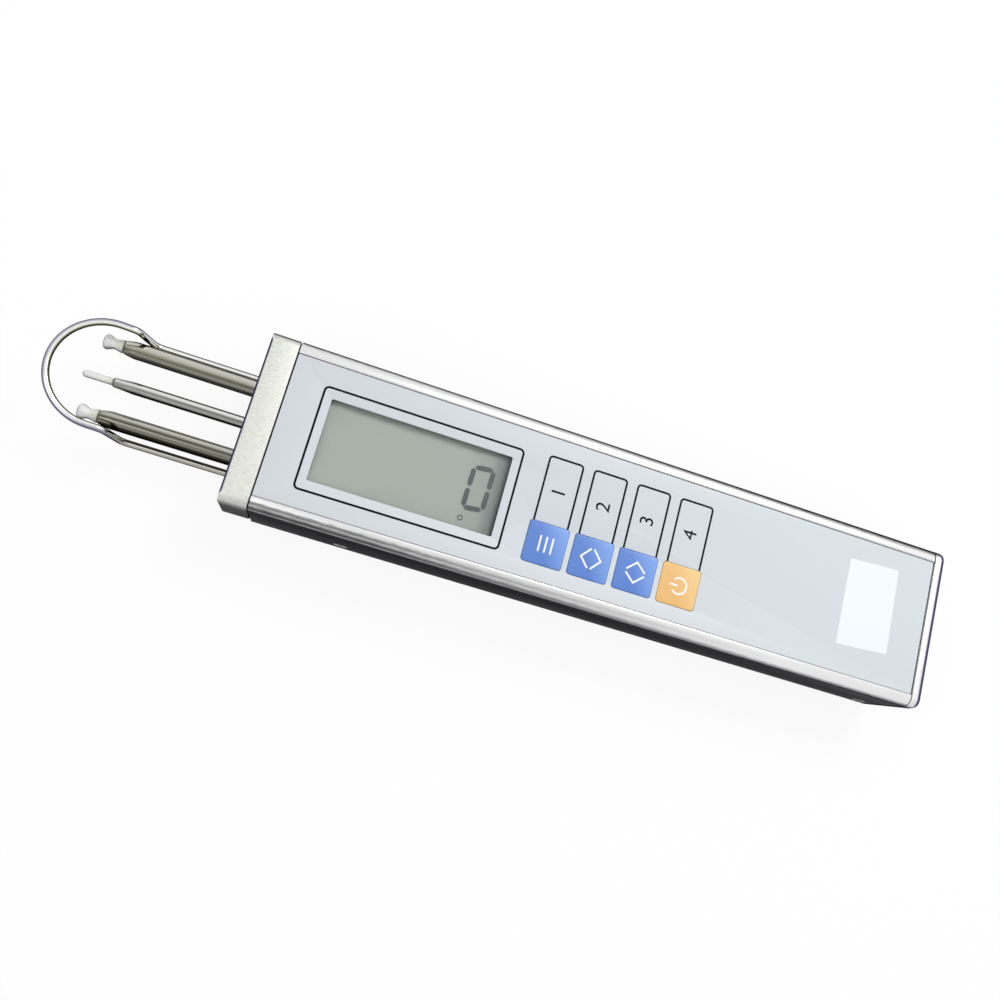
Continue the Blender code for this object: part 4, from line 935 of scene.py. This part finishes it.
for step in range(1, 9):
    share = step / 8
    opened = post_end_radius + (post_radius - post_end_radius) * sin(pi / 2 * share)
    post_stations.append((tip - tip_edge - (taper - tip_edge) * share, opened))
post_stations += [(post_foot + foot_edge, post_radius), (post_foot, post_radius - foot_edge)]
post_stations.append((post_foot, 0))
guide_base, guide_length = post_reach + 0.3 * mm, 4.4 * mm
base_radius, waist_radius, flange_radius, end_radius = 1.55 * mm, 1.20 * mm, 1.75 * mm, 1.0 * mm
waist_at, flange_at = guide_base + guide_length * 0.42, guide_base + guide_length * 0.84
guide_end = guide_base + guide_length
guide_stations = [(guide_end, 0), (guide_end, end_radius * 0.9)]
for step in range(0, 6):
    angle = pi / 2 * step / 5
    guide_stations.append(
        (
            guide_end - (guide_end - flange_at) * (1 - cos(angle)),
            end_radius + (flange_radius - end_radius) * sin(angle),
        )
    )
for top, top_radius, low, low_radius in (
    (flange_at, flange_radius, waist_at, waist_radius),
    (waist_at, waist_radius, guide_base, base_radius),
):
    for step in range(1, 11):
        blend = (1 - cos(pi * step / 10)) / 2
        radius = top_radius + (low_radius - top_radius) * blend
        guide_stations.append((top + (low - top) * step / 10, radius))
guide_stations += [(guide_base, guide_stem), (tip - stem_depth, guide_stem), (tip - stem_depth, 0)]


def glazed(name, centre, end, stops):
    """White glaze round a pin's axis, with painted shade that makes it greyer at its edges and its
    end. Stops are counted in millimetres from the end."""

    def tint(tree, place):
        where = coordinates(tree, place)
        lengthwise = banded(tree, past(tree, where["X"], end), 0, 8, stops)
        off = calculated(tree, "SUBTRACT", centre, where["Y"])
        up = calculated(tree, "SUBTRACT", where["Z"], pin_height)
        squares = [calculated(tree, "POWER", distance, 2) for distance in (off, up)]
        out = calculated(tree, "SQRT", calculated(tree, "ADD", *squares))
        lean = calculated(tree, "DIVIDE", off, calculated(tree, "MAXIMUM", out, 0.0001))
        across = calculated(tree, "ADD", calculated(tree, "MULTIPLY", lean, 0.5), 0.5)
        painted_edge_shade = banded(
            tree, across, 0, 1,
            [(0.0, 70, 8), (0.05, 130, 6), (0.11, 244), (0.86, 244), (0.93, 176), (1.0, 96)],
        )
        return mixed(tree, None, lengthwise, painted_edge_shade, "DARKEN")

    return finish(
        name, tint, roughness=(0.36, 0.44), darken=0.02, scale=700, bump=0.02,
        Specular_IOR_Level=0.3,
    )


guide_shade_stops = [
    (0.0, 40, 36, 62), (0.16, 84, 80, 104), (0.3, 232, 231, 234), (2.4, 242, 243, 236),
    (4.4, 218, 220, 198),
]
for name, side, bands in (("near", -1, near_post_reflections), ("far", 1, far_post_reflections)):
    across = side * post_spread
    place = Matrix.Translation((head_face, across, pin_height)) @ pins_turn
    steel = finish(
        f"polished_post_{name}", steel_bands(bands, across, post_radius), roughness=(0.12, 0.2),
        darken=0.06, scale=900, stretch=(0.05, 1, 1), bump=0.02, Metallic=1.0,
        Specular_Tint=(0.2, 0.2, 0.2, 1),
    )
    post = turned(post_stations)
    post.transform(place)
    piece(f"post_{name}", post, steel, "housing", [f"outer_post_{name}"])
    guide = turned(guide_stations)
    guide.transform(place)
    glaze = glazed(f"glazed_guide_{name}", across, head_face - guide_end, guide_shade_stops)
    piece(f"saddle_guide_{name}", guide, glaze, "housing", [f"ceramic_guide_{name}"])


# The middle pin carries the yarn's pull to the sensor. It is slimmer than the posts, tapers at
# its end, and holds a white ceramic rod with a domed tip.
sensing_radius, sensing_end, sensing_reach, sensing_foot = 1.4 * mm, 1.1 * mm, 30.4 * mm, -23.5 * mm
sensing_reflections = [
    (0.0, 40, 40, 36), (0.06, 104, 104, 98), (0.13, 196, 197, 192), (0.20, 232, 233, 229),
    (0.42, 219, 219, 217), (0.50, 160, 160, 158), (0.58, 96, 96, 94), (0.65, 94, 94, 92),
    (0.74, 150, 150, 148), (0.82, 154, 154, 152), (0.91, 60, 60, 58), (1.0, 24, 24, 24),
]


def sensing_tint(tree, place):
    """The pin's painted reflections, with a painted dark line of shade round the face that the rod
    comes out of.
    """
    where = coordinates(tree, place)
    from_face = past(tree, where["X"], head_face - sensing_reach)
    face = banded(tree, from_face, 0, 1, [(0.0, 30), (0.2, 44), (0.36, 255)])
    steel = steel_bands(sensing_reflections, 0, sensing_radius)(tree, place)
    return mixed(tree, None, steel, face, "DARKEN")


sensing_edge, sensing_taper = 0.1 * mm, 4.5 * mm
rod_radius, rod_tip, rod_stem = 0.8 * mm, 37.3 * mm, 0.6 * mm
seat_floor, rod_foot = sensing_reach - 3.5 * mm, sensing_reach - 3.2 * mm
sensing_stations = [
    (seat_floor, 0), (seat_floor, rod_radius), (sensing_reach, rod_radius),
    (sensing_reach, sensing_end - sensing_edge), (sensing_reach - sensing_edge, sensing_end),
]
for step in range(1, 7):
    share = step / 6
    opening = 1 - cos(pi / 2 * share) * (1 - share * 0.4)
    opened = min(sensing_end + (sensing_radius - sensing_end) * opening, sensing_radius)
    sensing_stations.append((sensing_reach - sensing_edge - sensing_taper * share, opened))
sensing_stations += [(sensing_foot, sensing_radius), (sensing_foot, 0)]
rod_stations = [(rod_tip, 0)]
for step in range(1, 9):
    angle = pi / 2 * step / 8
    rod_stations.append((rod_tip - rod_radius * (1 - cos(angle)), rod_radius * sin(angle)))
rod_stations += [
    (sensing_reach + 0.3 * mm, rod_radius), (sensing_reach + 0.3 * mm, rod_stem),
    (rod_foot, rod_stem), (rod_foot, 0),
]
sensing_place = Matrix.Translation((head_face, 0, pin_height)) @ pins_turn
sensing_steel = finish(
    "polished_sensing_pin", sensing_tint, roughness=(0.12, 0.2),
    darken=0.06, scale=900, stretch=(0.05, 1, 1), bump=0.02, Metallic=1.0,
    Specular_Tint=(0.2, 0.2, 0.2, 1),
)
sensing_mesh, rod_mesh = turned(sensing_stations), turned(rod_stations, 32)
sensing_mesh.transform(sensing_place)
rod_mesh.transform(sensing_place)
piece("middle_pin", sensing_mesh, sensing_steel, "sensing_arm", ["sensing_pin"])
# The rod's stops paint shade dark round its domed tip.
rod_finish = glazed(
    "glazed_rod", 0, head_face - rod_tip,
    [
        (0.0, 50, 46, 66), (0.2, 96, 92, 108), (0.4, 236, 236, 236), (5.0, 236, 237, 228),
        (7.2, 212, 213, 196),
    ],
)
piece("ceramic_rod", rod_mesh, rod_finish, "sensing_arm", ["ceramic_sensing_rod"])


# The guard bow is one round polished steel wire. Its two arms are seated below the posts, it
# joggles up beyond them, and its loop lies tilted round the tips of the pins.
bow_radius, bow_end = 0.8 * mm, -50.132 * mm
bow_arm_reach, bow_joggle, bow_bend = 25.3 * mm, 2.9 * mm, 2.0 * mm
loop_reach, loop_height, loop_tilt = 31.5 * mm, 16.001 * mm, radians(8)


def bow_path():
    """The wire's middle line, from the end of its near arm round to that of its far arm."""
    loop_x = head_face - loop_reach
    foot_x, rise_x = head_face - bow_arm_reach - bow_joggle, head_face - bow_arm_reach
    foot_z = loop_height - (foot_x - loop_x) * tan(loop_tilt)
    corners = [(bow_end, arm_height), (rise_x, arm_height), (foot_x, foot_z), (loop_x, loop_height)]
    corners = [Vector(corner) for corner in corners]
    arm = [corners[0]]
    for before, here, after in zip(corners, corners[1:], corners[2:]):
        back, ahead = (before - here).normalized(), (after - here).normalized()
        half = back.angle(ahead) / 2
        middle = here + (back + ahead).normalized() * bow_bend / sin(half)
        first, last = here + back * bow_bend / tan(half), here + ahead * bow_bend / tan(half)
        for k in range(11):
            out = (first - middle).slerp(last - middle, k / 10).normalized()
            arm.append(middle + out * bow_bend)
    near = [Vector((x, -bow_spread, z)) for x, z in arm]
    loop = []
    for k in range(61):
        angle = pi * (0.5 + k / 60)
        out = bow_spread * cos(angle)
        x, z = loop_x + out * cos(loop_tilt), loop_height - out * sin(loop_tilt)
        loop.append(Vector((x, -bow_spread * sin(angle), z)))
    far = [Vector((x, bow_spread, z)) for x, z in reversed(arm)]
    return near + loop + far


def ended(tree, geometry, steel):
    """Ends a geometry tree: instances made real, and the material set."""
    real = added(tree, "GeometryNodeRealizeInstances", Geometry=geometry)
    coated = added(
        tree, "GeometryNodeSetMaterial", Geometry=real.outputs["Geometry"], Material=steel
    )
    tree.links.new(coated.outputs["Geometry"], added(tree, "NodeGroupOutput").inputs[0])
    return tree


def bow_tree():
    """Geometry nodes that sweep a round wire along a curve and keep the place on its section."""
    tree = bpy.data.node_groups.new("bent_wire", "GeometryNodeTree")
    declared(
        tree, "INPUT", Path="Geometry", Wire_Radius="Float", Sides="Int", Spacing="Float",
        Steel="Material",
    )
    declared(tree, "OUTPUT", Wire="Geometry")
    given = added(tree, "NodeGroupInput").outputs
    even = added(
        tree, "GeometryNodeResampleCurve", [("mode", "LENGTH")], Curve=given["Path"],
        Length=given["Spacing"],
    )
    upright = added(
        tree, "GeometryNodeSetCurveNormal", [("mode", "Z_UP")], Curve=even.outputs["Curve"]
    )
    section = added(
        tree, "GeometryNodeCurvePrimitiveCircle", Resolution=given["Sides"],
        Radius=given["Wire Radius"],
    )
    kept = added(tree, "GeometryNodeCaptureAttribute", Geometry=section.outputs["Curve"])
    kept.capture_items.new("VECTOR", "Place")
    where = added(tree, "GeometryNodeInputPosition")
    tree.links.new(where.outputs["Position"], kept.inputs["Place"])
    swept = added(
        tree, "GeometryNodeCurveToMesh", Curve=upright.outputs["Curve"],
        Profile_Curve=kept.outputs["Geometry"], Fill_Caps=True,
    )
    stored = added(
        tree, "GeometryNodeStoreNamedAttribute",
        [("data_type", "FLOAT_VECTOR"), ("domain", "POINT")],
        Name="wire_section", Geometry=swept.outputs["Mesh"], Value=kept.outputs["Place"],
    )
    return ended(tree, stored.outputs["Geometry"], given["Steel"])


def set_inputs(modifier, **values):
    """Sets a modifier's inputs by their sockets' identifiers."""
    for socket in modifier.node_group.interface.items_tree:
        if socket.item_type == "SOCKET" and socket.in_out == "INPUT":
            key = socket.name.lower().replace(" ", "_")
            if key in values:
                modifier[socket.identifier] = values[key]


def grown(name, source, tree, **values):
    """The plain mesh that a geometry node tree makes from a curve or a mesh of points."""
    maker = bpy.data.objects.new(name, source)
    bpy.context.scene.collection.objects.link(maker)
    modifier = maker.modifiers.new("grown", "NODES")
    modifier.node_group = tree
    set_inputs(modifier, **values)
    graph = bpy.context.evaluated_depsgraph_get()
    mesh = bpy.data.meshes.new_from_object(maker.evaluated_get(graph), depsgraph=graph)
    bpy.data.objects.remove(maker, do_unlink=True)
    return mesh


bow_loop_reflections = [
    (0.0, 96, 94, 106), (0.06, 122, 120, 134), (0.17, 104, 101, 118), (0.28, 154, 151, 168),
    (0.40, 188, 186, 198), (0.50, 212, 210, 216), (0.61, 238, 238, 240), (0.72, 240, 241, 230),
    (0.82, 172, 175, 154), (0.92, 90, 94, 70), (1.0, 50, 52, 36),
]
near_arm_reflections = [
    (0.0, 40, 39, 34), (0.08, 120, 118, 106), (0.22, 186, 185, 176), (0.34, 108, 106, 96),
    (0.46, 214, 213, 206), (0.58, 120, 118, 108), (0.72, 160, 158, 148), (0.86, 70, 68, 58),
    (1.0, 20, 20, 14),
]
far_arm_reflections = [
    (0.0, 22, 22, 22), (0.16, 36, 36, 34), (0.27, 190, 189, 186), (0.38, 236, 236, 232),
    (0.74, 232, 232, 226), (0.86, 110, 110, 98), (1.0, 28, 28, 20),
]


def bow_tint(tree, place):
    """Painted reflections that follow the wire, from its outer edge in plan to its inner one. The
    arms' painted reflections show the posts beside them."""
    section = added(tree, "ShaderNodeAttribute", [("attribute_name", "wire_section")])
    share = coordinates(tree, section.outputs["Vector"])["X"]
    across = calculated(tree, "ADD", calculated(tree, "MULTIPLY", share, 0.5 / bow_radius), 0.5)
    where = coordinates(tree, place)
    places = (near_arm_reflections, far_arm_reflections, bow_loop_reflections)
    near_arm, far_arm, loop = [banded(tree, across, 0, 1, bands) for bands in places]
    arms = mixed(tree, calculated(tree, "GREATER_THAN", where["Y"], 0), near_arm, far_arm)
    arm_share = added(
        tree, "ShaderNodeMapRange", Value=where["X"],
        From_Min=head_face - bow_arm_reach - bow_joggle, From_Max=head_face - bow_arm_reach,
    )
    return mixed(tree, arm_share.outputs["Result"], loop, arms)


bow_finish = finish(
    "polished_bow_wire", bow_tint, roughness=(0.12, 0.2), darken=0.04, scale=900, bump=0.02,
    Metallic=1.0, Specular_Tint=(0.1, 0.1, 0.1, 1),
)
bow_curve = bpy.data.curves.new("bow_path", "CURVE")
bow_curve.dimensions = "3D"
path = bow_path()
spline = bow_curve.splines.new("POLY")
spline.points.add(len(path) - 1)
for target, point in zip(spline.points, path):
    target.co = (*point, 1)
bow_mesh = grown(
    "bow", bow_curve, bow_tree(), wire_radius=bow_radius, sides=36, spacing=0.4 * mm,
    steel=bow_finish,
)
bow_mesh.shade_smooth()
bow_mesh.set_sharp_from_angle(angle=radians(50))
piece("bow_wire", bow_mesh, bow_finish, "housing", ["guard_bow"])


# Four countersunk steel screws with a cross recess, two in each side, hold the sensor frame at
# the pin end and the end plate's spigot at the tail.
def screw_tree():
    """Geometry nodes that set one countersunk screw, with its recess cut, on each point."""
    tree = bpy.data.node_groups.new("countersunk_screws", "GeometryNodeTree")
    declared(
        tree, "INPUT", Places="Geometry", Head_Radius="Float", Shank_Radius="Float", Length="Float",
        Recess_Reach="Float", Recess_Width="Float", Recess_Depth="Float", Steel="Material",
    )
    declared(tree, "OUTPUT", Screws="Geometry")
    given = added(tree, "NodeGroupInput").outputs
    link = tree.links.new
    head_depth = calculated(tree, "SUBTRACT", given["Head Radius"], given["Shank Radius"])
    head = added(
        tree, "GeometryNodeMeshCone", Vertices=40, Radius_Top=given["Head Radius"],
        Radius_Bottom=given["Shank Radius"], Depth=head_depth,
    )
    shank = added(
        tree, "GeometryNodeMeshCylinder", Vertices=24, Radius=given["Shank Radius"],
        Depth=given["Length"],
    )

    def moved(geometry, height):
        offset = added(tree, "ShaderNodeCombineXYZ", Z=height).outputs["Vector"]
        shift = added(tree, "GeometryNodeTransform", Geometry=geometry, Translation=offset)
        return shift.outputs["Geometry"]

    head_low = calculated(tree, "MULTIPLY", head_depth, -1)
    shank_low = calculated(tree, "MULTIPLY", given["Length"], -0.5)
    shank_low = calculated(tree, "SUBTRACT", shank_low, 0.0002)
    exact = ("solver", "EXACT")
    body = added(tree, "GeometryNodeMeshBoolean", [("operation", "UNION"), exact])
    link(moved(head.outputs["Mesh"], head_low), body.inputs["Mesh 2"])
    link(moved(shank.outputs["Mesh"], shank_low), body.inputs["Mesh 2"])
    cut = added(
        tree, "GeometryNodeMeshBoolean", [("operation", "DIFFERENCE"), exact],
        Mesh_1=body.outputs["Mesh"],
    )
    deep = calculated(tree, "MULTIPLY", given["Recess Depth"], 2)
    wide = calculated(tree, "MULTIPLY", given["Recess Reach"], 2)
    for first, second in (("X", "Y"), ("Y", "X")):
        sides = {first: wide, second: given["Recess Width"], "Z": deep}
        size = added(tree, "ShaderNodeCombineXYZ", **sides).outputs["Vector"]
        arm = added(tree, "GeometryNodeMeshCube", Size=size)
        link(arm.outputs["Mesh"], cut.inputs["Mesh 2"])
    facing = added(
        tree, "GeometryNodeInputNamedAttribute", [("data_type", "FLOAT_VECTOR")], Name="facing"
    )
    turn = added(
        tree, "FunctionNodeAlignRotationToVector", [("axis", "Z")],
        Vector=facing.outputs["Attribute"],
    )
    placed = added(
        tree, "GeometryNodeInstanceOnPoints", Points=given["Places"], Instance=cut.outputs["Mesh"],
        Rotation=turn.outputs["Rotation"],
    )
    return ended(tree, placed.outputs["Instances"], given["Steel"])


screw_steel = finish(
    "screw_steel", paint(120, 122, 126), roughness=(0.24, 0.36), darken=0.12, scale=1800, bump=0.08,
    Metallic=1.0,
)
screw_points = bpy.data.meshes.new("screw_places")
screw_out = housing_half - side_screw_sink
screw_points.from_pydata(
    [(x, side * screw_out, side_screw_height) for x, side in side_screw_places], [], []
)
facing = screw_points.attributes.new("facing", "FLOAT_VECTOR", "POINT")
for item, (x, side) in zip(facing.data, side_screw_places):
    item.vector = (0, side, 0)
screw_mesh = grown(
    "screws", screw_points, screw_tree(), head_radius=side_screw_head,
    shank_radius=side_screw_shank, length=4.6 * mm, recess_reach=0.95 * mm,
    recess_width=0.36 * mm, recess_depth=0.6 * mm, steel=screw_steel,
)
screw_work = bmesh.new()
screw_work.from_mesh(screw_mesh)
piece(
    "side_screws", welded(screw_work, "screws"), screw_steel, "housing",
    [f"side_screw_{side}_{end}" for side in ("near", "far") for end in ("front", "tail")],
)


# The inner works keep their solids: the sensor frame and flexure, the board with its chip,
# switches and connectors, and the two cells in their tray. Each gets the finish of its material.
inner_finishes = {
    "aluminium": finish(
        "milled_aluminium", paint(196, 198, 200), (0.3, 0.45), 0.08, 900, (0.1, 1, 1), 0.06,
        Metallic=1.0,
    ),
    "steel": finish(
        "bright_steel", paint(160, 162, 166), (0.2, 0.32), 0.1, 1200, bump=0.05, Metallic=1.0
    ),
    "cell_silver": finish(
        "cell_sleeve", paint(186, 188, 190), (0.25, 0.35), 0.06, 700, bump=0.03, Metallic=0.6
    ),
}
along, across_it, even = (0.1, 1, 1), (1, 0.1, 1), (1, 1, 1)
for slot_name, name, levels, roughness, darken, scale, stretch, bump in (
    ("black_plastic", "black_moulding", (34, 35, 37), (0.45, 0.6), 0.15, 1600, even, 0.12),
    ("black_rubber", "black_rubber_finish", (28, 28, 29), (0.6, 0.75), 0.15, 1400, even, 0.15),
    ("cream_plastic", "connector_nylon", (228, 220, 196), (0.4, 0.52), 0.06, 1200, even, 0.06),
    ("board_green", "solder_mask", (34, 96, 58), (0.3, 0.45), 0.2, 600, even, 0.1),
    ("gauge_amber", "gauge_foil", (196, 140, 60), (0.3, 0.4), 0.15, 3000, across_it, 0.1),
    ("ribbon_brown", "flat_ribbon", (150, 98, 52), (0.35, 0.45), 0.12, 3000, along, 0.1),
    ("lead_red", "red_insulation", (168, 30, 28), (0.4, 0.5), 0.08, 1500, even, 0.05),
):
    inner_finishes[slot_name] = finish(
        name, paint(*levels), roughness, darken, scale, stretch, bump
    )
for node in nodes.values():
    if node.hide_render:
        continue
    for index, material in enumerate(node.data.materials):
        slot_name = material.name.split(".")[0]
        if slot_name in inner_finishes:
            node.data.materials[index] = inner_finishes[slot_name]


# The meter lies on a plain pale floor in soft studio light. The main lamp stands above the far
# side towards the tail.
floor_half = 1.6


def towards(place, target):
    """The matrix that stands a lamp at a place and turns it to a target."""
    aim = (Vector(target) - Vector(place)).to_track_quat("-Z", "Y")
    return Matrix.Translation(place) @ aim.to_matrix().to_4x4()


def seen_directly(tree):
    """One for what the camera, a reflection or a clear piece shows, and nothing for other rays."""
    path = added(tree, "ShaderNodeLightPath").outputs
    seen = calculated(tree, "MAXIMUM", path["Is Camera Ray"], path["Is Glossy Ray"])
    return calculated(tree, "MAXIMUM", seen, path["Is Transmission Ray"])


floor_material = bpy.data.materials.new("studio_floor")
floor_material.use_nodes = True
floor_tree = floor_material.node_tree
floor_shader = floor_tree.nodes["Principled BSDF"]
floor_shader.inputs["Roughness"].default_value = 0.9
floor_shader.inputs["Specular IOR Level"].default_value = 0
floor_seen = seen_directly(floor_tree)
floor_color = mixed(floor_tree, floor_seen, (0.55, 0.55, 0.55, 1), (1, 1, 1, 1))
floor_tree.links.new(floor_color, floor_shader.inputs["Base Color"])
floor_mix = added(
    floor_tree, "ShaderNodeMixShader", Fac=calculated(floor_tree, "MULTIPLY", floor_seen, 0.9)
)
floor_glow = added(floor_tree, "ShaderNodeEmission")
floor_tree.links.new(floor_shader.outputs["BSDF"], floor_mix.inputs[1])
floor_tree.links.new(floor_glow.outputs["Emission"], floor_mix.inputs[2])
floor_tree.links.new(
    floor_mix.outputs["Shader"], floor_tree.nodes["Material Output"].inputs["Surface"]
)
floor_mesh = bpy.data.meshes.new("floor")
floor_corners = [(-1, -1), (1, -1), (1, 1), (-1, 1)]
floor_mesh.from_pydata(
    [(x * floor_half, y * floor_half, 0) for x, y in floor_corners], [], [(0, 1, 2, 3)]
)
floor_mesh.materials.append(floor_material)
floor = bpy.data.objects.new("floor", floor_mesh)
bpy.context.scene.collection.objects.link(floor)

for name, place, target, width, power in (
    ("main_lamp", (0.20, 0.34, 0.52), (0.01, 0, 0.01), 0.26, 2.1),
    ("fill_lamp", (-0.34, -0.20, 0.50), (-0.02, 0, 0.01), 0.40, 0.6),
):
    lamp = bpy.data.lights.new(name, "AREA")
    lamp.shape = "SQUARE"
    lamp.size = width
    lamp.energy = power
    stand = bpy.data.objects.new(name, lamp)
    stand.matrix_world = towards(place, target)
    bpy.context.scene.collection.objects.link(stand)

world = bpy.data.worlds.new("studio")
bpy.context.scene.world = world
world.use_nodes = True
room = world.node_tree.nodes["Background"]
room_color = mixed(
    world.node_tree, seen_directly(world.node_tree), (0.52, 0.52, 0.525, 1), (1, 1, 1, 1)
)
world.node_tree.links.new(room_color, room.inputs["Color"])
room.inputs["Strength"].default_value = 1.0

bpy.context.scene.view_settings.view_transform = "Standard"
